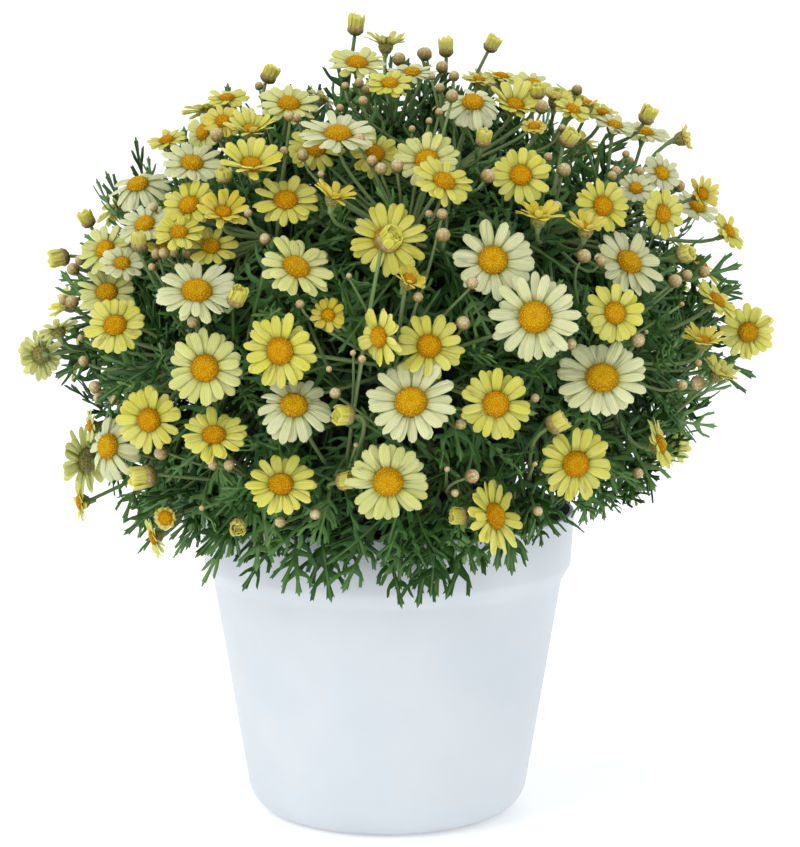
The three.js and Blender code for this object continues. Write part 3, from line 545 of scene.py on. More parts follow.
def at_pixel(column, row):
    """Where the sight line through a pixel meets the shell, or passes it closest."""
    sight = EYE_FORWARD + np.array([(column - AXIS_COLUMN) / FOCAL_PIXELS, 0, 0])
    sight = unit(sight + EYE_UP * ((MIDDLE_ROW - row) / FOCAL_PIXELS))
    start = (EYE - BUSH_CENTRE) / BUSH_RADII
    step = sight / BUSH_RADII
    a, b, c = step @ step, start @ step, start @ start - 1
    return EYE + sight * ((-b - math.sqrt(max(b * b - a * c, 0))) / a)

# %% [markdown]
# ## The heads in the picture
# The blooms and buds that show plainly in the picture have a row each: where the middle is seen,
# how wide the head is, and which way it looks. Heads strewn at random would be less typing, but
# a table can be corrected head by head until the bush looks like the one in the picture.

# %% Blooms in the picture
# Blooms: column, row, width in mm, how far it turns from the eye in degrees, the way it then
# turns (0 right, 90 up), how far it stands forward of the shell in mm, form, and the petals'
# tone: w whitish, p pale yellow, y yellow, d deep yellow
FRONT_BLOOMS = [
    (40, 355, 33, 150, 180, 0, "flat", "p"), (57, 329, 27, 110, 110, 0, "flat", "p"),
    (115, 325, 38, 30, 110, 6, "flat", "y"), (107, 292, 37, 38, 100, -10, "flat", "p"),
    (105, 249, 34, 42, 130, -8, "flat", "p"), (145, 224, 35, 50, 110, -8, "flat", "w"),
    (138, 184, 37, 55, 105, 0, "droop", "w"), (122, 263, 28, 45, 90, -20, "flat", "w"),
    (179, 232, 30, 50, 90, 4, "flat", "y"), (189, 205, 35, 40, 120, -10, "flat", "y"),
    (192, 163, 38, 52, 85, 0, "flat", "w"), (223, 213, 30, 45, 80, 0, "cup", "d"),
    (211, 246, 32, 45, 90, 0, "flat", "y"), (167, 140, 26, 65, 100, 0, "flat", "y"),
    (203, 132, 30, 50, 150, -12, "flat", "p"), (223, 121, 26, 45, 90, 0, "flat", "d"),
    (227, 98, 27, 70, 95, 0, "flat", "y"), (251, 130, 31, 62, 90, 0, "cup", "y"),
    (289, 104, 38, 55, 85, 0, "flat", "p"), (357, 63, 38, 62, 85, 0, "flat", "p"),
    (390, 83, 28, 55, 85, 6, "flat", "y"), (386, 44, 27, 95, 85, -4, "cup", "y"),
    (338, 134, 46, 62, 88, 4, "flat", "w"), (316, 148, 35, 40, 90, -12, "flat", "y"),
    (375, 153, 33, 35, 60, -10, "flat", "y"), (286, 200, 39, 42, 88, 0, "flat", "y"),
    (251, 165, 37, 55, 88, 0, "cup", "y"), (334, 197, 27, 78, 75, 6, "cup", "d"),
    (296, 267, 45, 48, 65, 0, "flat", "p"), (388, 240, 45, 22, 90, 0, "flat", "y"),
    (427, 160, 38, 28, 90, -8, "flat", "p"), (444, 181, 36, 50, 65, 8, "flat", "y"),
    (473, 102, 36, 50, 88, 0, "droop", "w"), (515, 105, 34, 55, 70, 0, "cup", "y"),
    (521, 175, 36, 20, 60, 0, "flat", "y"), (479, 79, 22, 75, 80, -4, "flat", "y"),
    (502, 76, 25, 78, 80, -8, "flat", "y"), (533, 83, 26, 62, 75, -4, "flat", "p"),
    (556, 99, 22, 85, 80, 0, "cup", "d"), (573, 109, 25, 63, 65, 0, "flat", "y"),
    (587, 104, 16, 80, 80, -8, "cup", "d"), (603, 112, 22, 65, 75, 0, "flat", "y"),
    (615, 125, 28, 72, 72, 4, "flat", "w"), (644, 132, 34, 72, 78, 0, "flat", "w"),
    (684, 138, 18, 85, 15, 0, "cup", "d"), (662, 173, 27, 42, 40, 0, "flat", "w"),
    (636, 188, 24, 45, 70, -10, "flat", "w"), (603, 206, 34, 28, 30, 0, "flat", "y"),
    (663, 214, 32, 45, 5, 0, "flat", "y"), (702, 194, 24, 50, 25, 4, "cup", "d"),
    (697, 207, 31, 60, 60, -10, "flat", "w"), (729, 231, 27, 65, 35, 0, "flat", "y"),
    (586, 228, 25, 72, 80, 6, "cup", "d"), (539, 217, 27, 72, 85, 4, "cup", "d"),
    (493, 260, 47, 15, 70, 0, "flat", "w"), (535, 317, 52, 10, 90, 6, "flat", "w"),
    (629, 262, 44, 45, 50, -4, "flat", "w"), (615, 313, 36, 20, 20, -4, "flat", "y"),
    (602, 378, 53, 30, 80, 0, "flat", "w"), (576, 464, 43, 20, 340, 0, "flat", "y"),
    (496, 404, 42, 12, 0, 0, "flat", "y"), (429, 346, 39, 18, 90, -6, "flat", "y"),
    (411, 402, 51, 25, 100, 0, "flat", "w"), (388, 482, 48, 15, 270, 0, "flat", "p"),
    (495, 516, 45, 55, 15, 0, "flat", "y"), (281, 484, 40, 30, 90, 0, "flat", "y"),
    (294, 405, 43, 30, 90, -6, "droop", "w"), (280, 351, 43, 12, 180, 4, "flat", "y"),
    (205, 368, 45, 10, 180, 0, "flat", "p"), (149, 420, 39, 18, 180, 0, "flat", "y"),
    (214, 435, 38, 38, 95, 0, "flat", "y"), (108, 446, 43, 45, 170, 0, "droop", "w"),
    (90, 426, 20, 75, 180, -12, "flat", "p"), (80, 502, 28, 80, 185, 0, "flat", "y"),
    (153, 538, 25, 80, 200, 0, "flat", "y"), (166, 518, 14, 20, 200, 0, "cup", "d"),
    (328, 315, 21, 20, 90, 0, "flat", "d"), (379, 337, 35, 48, 185, 2, "flat", "y"),
    (409, 280, 19, 60, 60, 4, "cup", "d"), (717, 300, 32, 70, 45, 0, "flat", "y"),
    (748, 332, 36, 15, 0, 0, "flat", "y"), (703, 341, 27, 65, 80, 4, "cup", "d"),
    (718, 373, 26, 75, 55, 0, "cup", "y"), (660, 444, 33, 75, 20, 0, "flat", "y"),
    (412, 72, 30, 70, 88, -10, "flat", "w"), (322, 97, 20, 100, 60, -12, "flat", "p"),
    (164, 247, 20, 60, 90, -10, "flat", "d"), (197, 291, 49, 45, 90, 6, "flat", "w"),
    (534, 126, 16, 60, 90, -8, "flat", "d"),
]

# %% Buds in the picture
# The largest buds: column and row of the middle, width in mm, length over width, how far the
# bud turns from the eye, and the way it then turns
FRONT_BUDS = [
    (356, 25, 10, 1.3, 85, 83), (270, 74, 10, 1.2, 85, 62), (446, 47, 9, 1.4, 85, 92),
    (492, 44, 9, 1.2, 80, 62), (484, 138, 9, 1.2, 70, 78), (569, 138, 10, 1.2, 75, 55),
    (648, 115, 10, 1.2, 80, 62), (685, 254, 10, 1, 65, 20), (59, 258, 11, 1.2, 80, 190),
    (139, 242, 9, 1.3, 80, 90), (237, 297, 10, 1.2, 65, 65), (389, 240, 13, 1, 60, 45),
    (143, 477, 13, 1.2, 80, 190), (344, 415, 11, 1.1, 60, 180), (345, 481, 10, 1, 50, 10),
    (557, 423, 11, 1.1, 80, 30), (459, 516, 10, 1, 70, 180), (538, 91, 9, 1, 70, 90),
    (488, 176, 8, 1, 75, 55), (584, 256, 8, 1, 60, 55), (675, 281, 8, 1, 70, 40),
    (638, 340, 8, 1, 20, 60), (443, 235, 8, 1, 60, 90), (189, 252, 8, 1, 65, 90),
    (87, 219, 9, 1.2, 80, 115), (72, 302, 8, 1, 75, 110), (177, 201, 8, 1, 70, 92),
    (224, 176, 9, 1, 75, 95), (161, 453, 8, 1, 60, 180), (238, 527, 9, 1, 25, 270),
    (472, 476, 8, 1, 60, 20), (698, 383, 8, 1, 60, 200),
]

# The small buds: column, row and width in pixels
SMALL_BUDS = [
    (399, 59, 14), (425, 54, 15), (422, 53, 11), (452, 96, 13), (542, 107, 14), (229, 465, 11),
    (345, 86, 8), (359, 83, 10), (363, 101, 10), (367, 90, 9), (340, 108, 8), (289, 117, 9),
    (297, 118, 9), (284, 151, 9), (303, 155, 12), (359, 140, 13), (321, 174, 7), (372, 161, 11),
    (381, 169, 12), (397, 166, 13), (412, 129, 7), (442, 67, 13), (454, 76, 11), (432, 77, 7),
    (440, 88, 10), (577, 90, 12), (439, 112, 8), (429, 121, 7), (548, 157, 9), (564, 170, 14),
    (626, 154, 8), (616, 171, 10), (612, 176, 10), (639, 172, 11), (679, 186, 13), (601, 261, 11),
    (562, 128, 8), (556, 207, 12), (704, 272, 12), (687, 275, 11), (571, 344, 11), (646, 332, 5),
    (682, 304, 5), (389, 251, 12), (442, 214, 11), (429, 214, 8), (472, 283, 12), (418, 297, 10),
    (463, 323, 14), (265, 239, 11), (322, 257, 13), (349, 276, 6), (300, 304, 9), (193, 322, 12),
    (248, 213, 8), (353, 353, 6), (362, 359, 8), (239, 371, 8), (329, 369, 6), (80, 260, 11),
    (73, 269, 13), (64, 300, 11), (116, 254, 12), (144, 229, 8), (156, 254, 10), (164, 253, 11),
    (175, 253, 9), (152, 267, 8), (84, 361, 11), (81, 338, 7), (217, 135, 14), (154, 208, 8),
    (95, 387, 13), (99, 398, 12), (115, 400, 11), (213, 465, 10), (202, 508, 6), (335, 393, 11),
    (356, 445, 5), (315, 514, 11), (280, 522, 11), (461, 424, 11), (447, 469, 6), (455, 493, 8),
    (538, 511, 10), (535, 398, 9), (535, 464, 5), (682, 385, 11), (638, 473, 11), (698, 363, 8),
    (259, 86, 9),
]
print(len(FRONT_BLOOMS), "blooms and", len(FRONT_BUDS) + len(SMALL_BUDS), "buds are in the picture")

# %% [markdown]
# ## Front and back
# A head needs a place, the way it looks, its width and its form. In front these come from the
# tables. Behind, where the picture doesn't reach, the blooms stand by the golden angle, as seeds
# do in a sunflower, which spreads them evenly without rows, and seeded draws vary them.

# %% Values of the heads
BACK_BLOOMS = 44
BACK_STARTS = 22
BACK_HEIGHTS = (0.93, -0.45)
BACK_SHARES = (0.97, 1.03)
BACK_WIDTHS = (34, 50)
BACK_FORMS = ("flat", "flat", "flat", "droop", "cup")
BACK_LEAN = 0.8
HALF_OPEN = 0.7
BACK_BUDS = 7
BACK_BUD_AZIMUTHS = (100, 260)
BACK_BUD_ELEVATIONS = (8, 36)
BACK_BUD_WIDTHS = (8, 11)
BACK_BUD_SHARE = 1.04
BACK_BUD_STRETCH = 1.1
BUD_UPTURN = 0.6
PETAL_LENGTH = 18
DISC_SHARE = 0.34
DISC_SMALLEST = {"flat": 3.5, "droop": 3.5, "cup": 4.5}
CALYX_DEPTH = 6
PETAL_RISE = {"flat": 8, "droop": -34, "cup": 48}
TONES = {"w": 0.0, "p": 0.34, "y": 0.67, "d": 1.0}
BACK_TONES = "ywpypyp"

# %% Blooms, front and back
def between(ends, share):
    return ends[0] + (ends[1] - ends[0]) * share


def seen_axis(place, tilt, toward):
    """The direction that turns from the eye by a tilt, towards a way in the picture."""
    sight = unit(EYE - place)
    right = unit(np.cross(UP, sight))
    above = np.cross(sight, right)
    lean, way = math.radians(tilt), math.radians(toward)
    return sight * math.cos(lean) + math.sin(lean) * (right * math.cos(way) + above * math.sin(way))


def front_bloom(index, column, row, width, tilt, toward, forward, form, tone):
    place = at_pixel(column, row)
    return {"place": place, "axis": seen_axis(place, tilt, toward), "width": width, "form": form,
            "slide": unit(EYE - place), "forward": forward, "turn": index * GOLDEN_ANGLE,
            "tone": TONES[tone]}


def back_blooms():
    """The blooms behind, where the picture doesn't reach: even all over that side."""
    draw = draws(7).__next__
    turns = BACK_BLOOMS * 2
    blooms = []
    for i in range(turns):
        elevation = math.degrees(math.asin(between(BACK_HEIGHTS, (i + 0.5) / turns)))
        azimuth = math.degrees(i * GOLDEN_ANGLE) + 6 * draw()
        place = on_bush(azimuth, elevation, between(BACK_SHARES, draw()))
        width = between(BACK_WIDTHS, draw())
        form = BACK_FORMS[int(len(BACK_FORMS) * draw())]
        lean = np.array([draw() - 0.5, draw() - 0.5, 0.25 + 0.5 * draw()])
        if place[1] > BACK_STARTS:
            blooms.append({
                "place": place, "axis": unit(outward(place) + lean * BACK_LEAN), "form": form,
                "width": width * HALF_OPEN if form == "cup" else width, "slide": outward(place),
                "forward": 0, "turn": i, "tone": TONES[BACK_TONES[i % len(BACK_TONES)]]})
    return blooms

# %% Buds, and the room that a head takes
def bud(middle, axis, width, stretch, slide, turn):
    """A bud from its middle; its place is the top of its stalk."""
    return {"place": middle - axis * 0.5 * width * stretch, "axis": axis, "width": width, "form": "bud",
            "stretch": stretch, "slide": slide, "forward": 0, "turn": turn, "tone": 0.5}


def front_bud(index, column, row, width, stretch, tilt, toward):
    centre = at_pixel(column, row)
    return bud(centre, seen_axis(centre, tilt, toward), width, stretch, unit(EYE - centre), index)


def upturned(place):
    """Out of the bush and somewhat up, as most buds grow."""
    return unit(outward(place) + UP * BUD_UPTURN)


def back_bud(i):
    azimuth = between(BACK_BUD_AZIMUTHS, (i + 0.5) / BACK_BUDS)
    centre = on_bush(azimuth, between(BACK_BUD_ELEVATIONS, (i * 0.618) % 1), BACK_BUD_SHARE)
    width = between(BACK_BUD_WIDTHS, (i * 0.382) % 1)
    return bud(centre, upturned(centre), width, BACK_BUD_STRETCH, outward(centre), i)


def head_sizes(head):
    """A head's radius, its lowest and highest level along its axis, and its disc's radius."""
    width = head["width"]
    if head["form"] == "bud":
        return {"radius": width / 2, "low": 0, "high": width * head["stretch"]}
    rise = math.radians(PETAL_RISE[head["form"]])
    disc = max(width * DISC_SHARE / 2, DISC_SMALLEST[head["form"]])
    reach = min((width / 2 - disc) / math.cos(rise), PETAL_LENGTH)
    tip = reach * math.sin(rise)
    return {"radius": width / 2, "low": min(tip, 0) - 2, "high": max(tip, 3) + 1, "disc": disc}

# %% [markdown]
# ## Room for every head
# On the plant no bloom grows through another. A head fills a drum round its axis, and a stalk is
# a line. Two flowers clash where sample points of one lie in the other's drum, or where stalks
# from different forks come too near. Whole meshes could be tested instead, but points are quick
# enough for hundreds of heads.

# %% Sample points of heads and stalks
STALK_RADIUS = 1.1
STALK_BEND = 13
STRAIGHT_ENOUGH = 0.85
STALK_STEPS = 16
SLIDES = [0, -4, 4, -8, 8, -12, 12, -17, 17, -22, 22, -28]
NEAR_FORKS = 4
HEAD_MARGIN = 1.1
SPRAY_LIMIT = 8
STALKS_APART = 5
STALK_REACH = 75
ROUND = 2 * math.pi * np.arange(10) / 10


def stalk_path(head, fork):
    top = head["place"] + head["axis"] * (0 if head["form"] == "bud" else -CALYX_DEPTH)
    down = fork - top
    length = np.linalg.norm(down)
    if -down @ head["axis"] > STRAIGHT_ENOUGH * length:
        return [top, fork]
    return [top, top - head["axis"] * min(STALK_BEND, 0.35 * length), fork]


def head_samples(head, sizes):
    first, second = basis_of(head["axis"])
    samples = []
    for height in (sizes["low"], (sizes["low"] + sizes["high"]) / 2, sizes["high"]):
        centre = head["place"] + head["axis"] * height
        samples.append(centre[None])
        for share in (0.55, 1):
            ring = np.outer(np.cos(ROUND), first) + np.outer(np.sin(ROUND), second)
            samples.append(centre + ring * sizes["radius"] * share)
    return np.concatenate(samples)


def stalk_samples(path):
    shares = (np.arange(STALK_STEPS) / STALK_STEPS)[:, None]
    return np.concatenate([a + (b - a) * shares for a, b in zip(path, path[1:])])

# %% Do two flowers cross?
def in_head(points, flower, margin):
    """Which points lie in the drum that a head fills, with a margin."""
    sizes = flower["sizes"]
    away = points - flower["place"]
    height = away @ flower["axis"]
    level = (height >= sizes["low"] - margin) & (height <= sizes["high"] + margin)
    return level & ((away ** 2).sum(axis=1) - height ** 2 < (sizes["radius"] + margin) ** 2)


def flowers_cross(one, other, margin):
    reach = one["sizes"]["radius"] + other["sizes"]["radius"] + STALK_REACH
    if np.linalg.norm(one["place"] - other["place"]) > reach:
        return False
    if one["fork"] != other["fork"]:
        apart = one["stalk_points"][:, None] - other["stalk_points"][None]
        if (apart ** 2).sum(axis=2).min() < STALKS_APART ** 2:
            return True
    return (in_head(one["head_points"], other, margin).any()
            or in_head(other["head_points"], one, margin).any()
            or in_head(one["stalk_points"], other, margin + STALK_RADIUS).any()
            or in_head(other["stalk_points"], one, margin + STALK_RADIUS).any())

# %% Set each flower on a fork
def set_on(head, slide, fork):
    """The head on one fork, slid along its own line by some millimetres."""
    placed = dict(head, place=head["place"] + head["slide"] * (head["forward"] + slide), fork=fork)
    placed["sizes"] = head_sizes(head)
    placed["path"] = stalk_path(placed, forks[fork]["place"])
    placed["head_points"] = head_samples(placed, placed["sizes"])
    placed["stalk_points"] = stalk_samples(placed["path"])
    return placed


def settle(heads, before, limit):
    """Sets each flower on a near fork, slid until it is clear of the flowers set before it.

    Where none is clear of all, it may touch flowers on its own fork, or else it is left out.
    """
    settled = list(before)
    for head in heads:
        load = [sum(flower["fork"] == index for flower in settled) for index in range(len(forks))]
        near = sorted(
            (index for index in range(len(forks)) if load[index] < limit),
            key=lambda index: np.linalg.norm(forks[index]["place"] - head["place"]))[:NEAR_FORKS]
        tries = [set_on(head, slide, fork) for slide in SLIDES for fork in near]
        clear = next((flower for flower in tries if not any(
            flowers_cross(flower, other, HEAD_MARGIN) for other in settled)), None)
        joined = clear or next((flower for flower in tries if not any(
            other["fork"] != flower["fork"] and flowers_cross(flower, other, HEAD_MARGIN)
            for other in settled)), None)
        if joined:
            settled.append(joined)
    return settled


front = [front_bloom(index, *row) for index, row in enumerate(FRONT_BLOOMS)]
heads = sorted(front, key=lambda head: -head["forward"]) + back_blooms()
heads += [front_bud(index, *row) for index, row in enumerate(FRONT_BUDS)]
heads += [back_bud(i) for i in range(BACK_BUDS)]
flowers = settle(heads, [], SPRAY_LIMIT)
print(len(flowers), "of", len(heads), "flowers found their place")

# %% Small buds, on the same forks
CROWDED_LIMIT = 18
BUD_PIXEL = 0.56
SMALL_STRETCH = 1.05
# Behind: how many, their azimuths, elevations, shares of the shell's radius and widths
BACK_SMALL_BUDS = 60
BACK_SMALL_AZIMUTHS = (105, 255)
BACK_SMALL_ELEVATIONS = (-20, 42)
BACK_SMALL_SHARES = (0.94, 1.02)
BACK_SMALL_WIDTHS = (4.5, 8)

small = []
for index, (column, row, width) in enumerate(SMALL_BUDS):
    centre = at_pixel(column, row)
    small.append(bud(
        centre, upturned(centre), width * BUD_PIXEL, SMALL_STRETCH, unit(EYE - centre), index))
small_draw = draws(90).__next__
for index in range(BACK_SMALL_BUDS):
    centre = on_bush(*(between(ends, small_draw()) for ends in (
        BACK_SMALL_AZIMUTHS, BACK_SMALL_ELEVATIONS, BACK_SMALL_SHARES)))
    width = between(BACK_SMALL_WIDTHS, small_draw())
    small.append(bud(centre, upturned(centre), width, SMALL_STRETCH, outward(centre), index))
before = len(flowers)
flowers = settle(small, flowers, CROWDED_LIMIT)
print(len(flowers) - before, "of", len(small), "small buds found their place")

# %% [markdown]
# ## Patterns, and copies of them
# A marguerite repeats a few shapes thousands of times: petal, disc, calyx, bud, leaf and stalk.
# Each is modelled once with Blender's own tools, in its own units, and read into a Pattern.
# Copies are then bent and placed as numbers, and a Growth joins them into one mesh. Particles or
# linked copies would be lighter, but they don't survive an export.

# %% A pattern
EDGE_FACES = 0.35


def triangle_count(obj):
    return sum(len(face.vertices) - 2 for face in obj.data.polygons)


class Pattern:
    """A finished mesh, read once: its points, faces, smoothness and shape map.

    With flat_sides the thin faces along a blade's edge stay flat, and the rest is smooth.
    """

    def __init__(self, obj, shape_map, flat_sides=False):
        mesh = obj.data
        self.points = np.array([v.co for v in mesh.vertices])
        self.corners = np.array([loop.vertex_index for loop in mesh.loops])
        self.starts = np.array([face.loop_start for face in mesh.polygons])
        normals = np.array([face.normal for face in mesh.polygons])
        blade = np.abs(normals[:, 2]) > EDGE_FACES
        self.smooth = blade if flat_sides else np.ones(len(normals), bool)
        plane = shape_map(self.points)[self.corners]
        for start, end in zip(self.starts, [*self.starts[1:], len(self.corners)]):
            turn = plane[start:end, 1]
            if turn.max() - turn.min() > 0.5 and not flat_sides:
                turn[turn < 0.5] += 1
        self.plane = plane
        print(obj.name, "has", len(mesh.polygons), "faces,", triangle_count(obj), "triangles")
        bpy.data.objects.remove(obj)


def flat_map(points):
    return np.stack([points[:, 0], points[:, 1] + 0.5], axis=1)


def round_map(points):
    """Height, and the turn round the upright axis as a share of a circle."""
    turn = np.arctan2(points[:, 1], points[:, 0]) / (2 * math.pi) % 1
    return np.stack([points[:, 2], turn], axis=1)


def disc_map(points):
    return np.stack([np.hypot(points[:, 0], points[:, 1]), points[:, 2] * 0], axis=1)

# %% A growth
class Growth:
    """Gathers copies of patterns and joins them into one mesh."""

    def __init__(self):
        self.parts = []

    def add(self, pattern, points, slot, tone):
        self.parts.append((pattern, points, slot, tone))

    def piece(self, name, finishes):
        mesh = bpy.data.meshes.new(name)
        first_point = np.cumsum([0] + [len(points) for _, points, _, _ in self.parts])
        first_corner = np.cumsum([0] + [len(pattern.corners) for pattern, _, _, _ in self.parts])
        places = np.concatenate([points for _, points, _, _ in self.parts]) * MM
        corners = np.concatenate([p.corners + at for (p, _, _, _), at in zip(self.parts, first_point)])
        starts = np.concatenate([p.starts + at for (p, _, _, _), at in zip(self.parts, first_corner)])
        mesh.vertices.add(len(places))
        mesh.vertices.foreach_set("co", places.ravel())
        mesh.loops.add(len(corners))
        mesh.loops.foreach_set("vertex_index", corners)
        mesh.polygons.add(len(starts))
        mesh.polygons.foreach_set("loop_start", starts)
        mesh.polygons.foreach_set(
            "material_index",
            np.concatenate([np.full(len(p.starts), slot) for p, _, slot, _ in self.parts]))
        mesh.polygons.foreach_set("use_smooth", np.concatenate([p.smooth for p, _, _, _ in self.parts]))
        mesh.update(calc_edges=True)
        plane = mesh.uv_layers.new(name=SHAPE_MAP)
        plane.data.foreach_set("uv", np.concatenate([p.plane for p, _, _, _ in self.parts]).ravel())
        tones = mesh.attributes.new(TONE, "FLOAT", "POINT")
        tones.data.foreach_set(
            "value", np.concatenate([np.full(len(points), tone) for _, points, _, tone in self.parts]))
        for finish in finishes:
            mesh.materials.append(finish.material)
        made = bpy.data.objects.new(name, mesh)
        bpy.context.scene.collection.objects.link(made)
        return made

# %% Bending and placing
def bent(points, length, width, rise, curl, twist=0.0):
    """A flat pattern at its length and width, rising by an angle and curling on towards its tip."""
    along, across, above = points[:, 0] * length, points[:, 1] * width, points[:, 2] * width
    if twist:
        turn = twist * points[:, 0]
        across, above = (across * np.cos(turn) - above * np.sin(turn),
                         across * np.sin(turn) + above * np.cos(turn))
    rate = (curl if abs(curl) > 1e-3 else 1e-3) / length
    angle = rise + rate * along
    forward = (np.sin(angle) - math.sin(rise)) / rate - above * np.sin(angle)
    upward = (math.cos(rise) - np.cos(angle)) / rate + above * np.cos(angle)
    return np.stack([forward, across, upward], axis=1)


def placed(points, origin, along, across, above):
    return origin + points @ np.stack([along, across, above])

# %% [markdown]
# ## Petal
# A petal, or ray floret, is a thin strap: narrow where it leaves the disc, widest past the
# middle, and cut off at the tip in small blunt teeth. It starts as a grid. The lengthways
# lines rise and sink for two ridges with a gutter between them, each row is scaled to its
# width, single points of the last row are drawn back for the teeth, and Solidify gives it its
# thickness. The fine lines along it are left to the finish, because a petal that is copied
# thousands of times can only have a few dozen faces.

# %% Petal
# How far along the rows of the grid lie, and how wide the petal is there
PETAL_ROWS = ((0.0, 0.52), (0.30, 0.84), (0.66, 1.0), (0.88, 0.86), (1.0, 0.46))
# Height of the lengthways lines, from the middle outwards: two ridges and a groove
PETAL_SECTION = {0: -0.015, 1: 0.025, 2: -0.005}
PETAL_SKIN = 0.05


def push(obj, test, **move):
    """Moves the points of a mesh in edit mode that pass a test."""
    select_where(obj, "verts", lambda vertex: test(vertex.co))
    bpy.ops.transform.translate(value=(move.get("x", 0), move.get("y", 0), move.get("z", 0)))


def model_petal(name, tip):
    """A petal one unit long and wide; tip gives how far each point of its end is drawn back."""
    rows = len(PETAL_ROWS) - 1
    clear_selection()
    bpy.ops.mesh.primitive_grid_add(x_subdivisions=rows, y_subdivisions=4, size=1)
    petal = bpy.context.object
    petal.name = name
    bpy.ops.object.mode_set(mode="EDIT")
    bpy.ops.transform.translate(value=(0.5, 0, 0))
    for column, level in PETAL_SECTION.items():
        push(petal, lambda co: abs(abs(co.y) - 0.25 * column) < 0.01, z=level)
    for row in range(rows, -1, -1):
        place, width = PETAL_ROWS[row]
        select_where(petal, "verts", lambda vertex: abs(vertex.co.x - row / rows) < 0.01)
        bpy.ops.transform.translate(value=(place - row / rows, 0, 0))
        bpy.ops.transform.resize(value=(1, width, 1), center_override=(0, 0, 0))
    for column, back in enumerate(tip):
        aside = PETAL_ROWS[-1][1] * (0.25 * column - 0.5)
        push(petal, lambda co: co.x > 0.99 and abs(co.y - aside) < 0.01, x=-back)
    bpy.ops.object.mode_set(mode="OBJECT")
    skin = petal.modifiers.new("skin", "SOLIDIFY")
    skin.thickness = PETAL_SKIN
    bpy.ops.object.modifier_apply(modifier=skin.name)
    return Pattern(petal, flat_map, flat_sides=True)


PETALS = [
    model_petal("petal_round", (0.035, 0.005, 0.0, 0.010, 0.040)),
    model_petal("petal_notched", (0.040, 0.0, 0.035, 0.005, 0.045)),
    model_petal("petal_two_notches", (0.030, 0.025, 0.0, 0.030, 0.035)),
]

# %% [markdown]
# ## Disc, calyx, bud and stalk
# The disc is a low dome of tiny florets. It is the cap of a ball, cut off with a bisect and
# flattened, and every other point is fattened outwards so that the surface is knobbly. The
# calyx is the lower cap of a ball, with the same knobbly trick for its scales. A bud is a whole
# ball, drawn in at the top. A stalk is a six-sided rod, extruded ring by ring so that it can
# bend.

# %% Balls, cut and roughened
def model_ball(name, segments, rings):
    clear_selection()
    bpy.ops.mesh.primitive_uv_sphere_add(segments=segments, ring_count=rings, radius=1)
    ball = bpy.context.object
    ball.name = name
    bpy.ops.object.mode_set(mode="EDIT")
    return ball


def cut_level(height, keep_above):
    """Cuts the mesh in edit mode at a height and closes the cut."""
    bpy.ops.mesh.select_all(action="SELECT")
    bpy.ops.mesh.bisect(plane_co=(0, 0, height), plane_no=(0, 0, 1), use_fill=True,
                        clear_inner=keep_above, clear_outer=not keep_above)


def roughen(obj, segments, amount, low, high):
    """Fattens every other point of the rings between two levels, alternating from ring to ring."""
    levels = sorted({round(v.co.z, 3) for v in bmesh.from_edit_mesh(obj.data).verts})

    def every_other(vertex):
        turn = round((math.atan2(vertex.co.y, vertex.co.x) / (2 * math.pi) % 1) * segments)
        ring = levels.index(round(vertex.co.z, 3))
        return low < vertex.co.z < high and (turn + ring) % 2 == 0

    select_where(obj, "verts", every_other)
    bpy.ops.transform.shrink_fatten(value=amount)

# %% Disc, calyx and bud
def model_disc():
    disc = model_ball("disc", 20, 14)
    cut_level(-0.16, True)
    roughen(disc, 20, 0.05, -0.1, 0.97)
    push(disc, lambda co: 0.5 < co.xy.length < 0.9 and co.z > 0, z=0.07)
    push(disc, lambda co: co.xy.length < 0.25 and co.z > 0, z=-0.10)
    bpy.ops.mesh.select_all(action="SELECT")
    bpy.ops.transform.resize(value=(1, 1, 0.5), center_override=(0, 0, 0))
    bpy.ops.object.mode_set(mode="OBJECT")
    return Pattern(disc, disc_map)


def model_calyx():
    calyx = model_ball("calyx", 16, 10)
    cut_level(0.1, False)
    roughen(calyx, 16, 0.07, -0.95, 0.05)
    bpy.ops.object.mode_set(mode="OBJECT")
    return Pattern(calyx, round_map)


def model_bud():
    closed = model_ball("bud", 12, 8)
    roughen(closed, 12, 0.07, -0.95, 0.3)
    push(closed, lambda co: co.z > 0.95, z=-0.12)
    bpy.ops.object.mode_set(mode="OBJECT")
    return Pattern(closed, round_map)


DISC = model_disc()
CALYX = model_calyx()
BUD = model_bud()

# %% Stalk
STALK_RINGS = 9
STALK_SIDES = 6


def model_rod():
    """A rod one unit long and one in radius, with rings to bend it at."""
    clear_selection()
    bpy.ops.mesh.primitive_circle_add(vertices=STALK_SIDES, radius=1, fill_type="NGON")
    rod = bpy.context.object
    rod.name = "rod"
    bpy.ops.object.mode_set(mode="EDIT")
    bpy.ops.mesh.select_all(action="SELECT")
    for _ in range(STALK_RINGS - 1):
        bpy.ops.mesh.extrude_region_move(
            TRANSFORM_OT_translate={"value": (0, 0, 1 / (STALK_RINGS - 1))})
    bpy.ops.mesh.select_all(action="SELECT")
    bpy.ops.mesh.normals_make_consistent(inside=False)
    bpy.ops.object.mode_set(mode="OBJECT")
    return Pattern(rod, round_map)


ROD = model_rod()

# %% Curves, and rods along them
def curve(points, count):
    """Evenly stepped places on the smooth curve that the points pull."""
    steps = np.linspace(0, 1, count)[:, None]
    layer = [np.repeat(point[None], count, axis=0) for point in points]
    while len(layer) > 1:
        layer = [a + (b - a) * steps for a, b in zip(layer, layer[1:])]
    return layer[0]


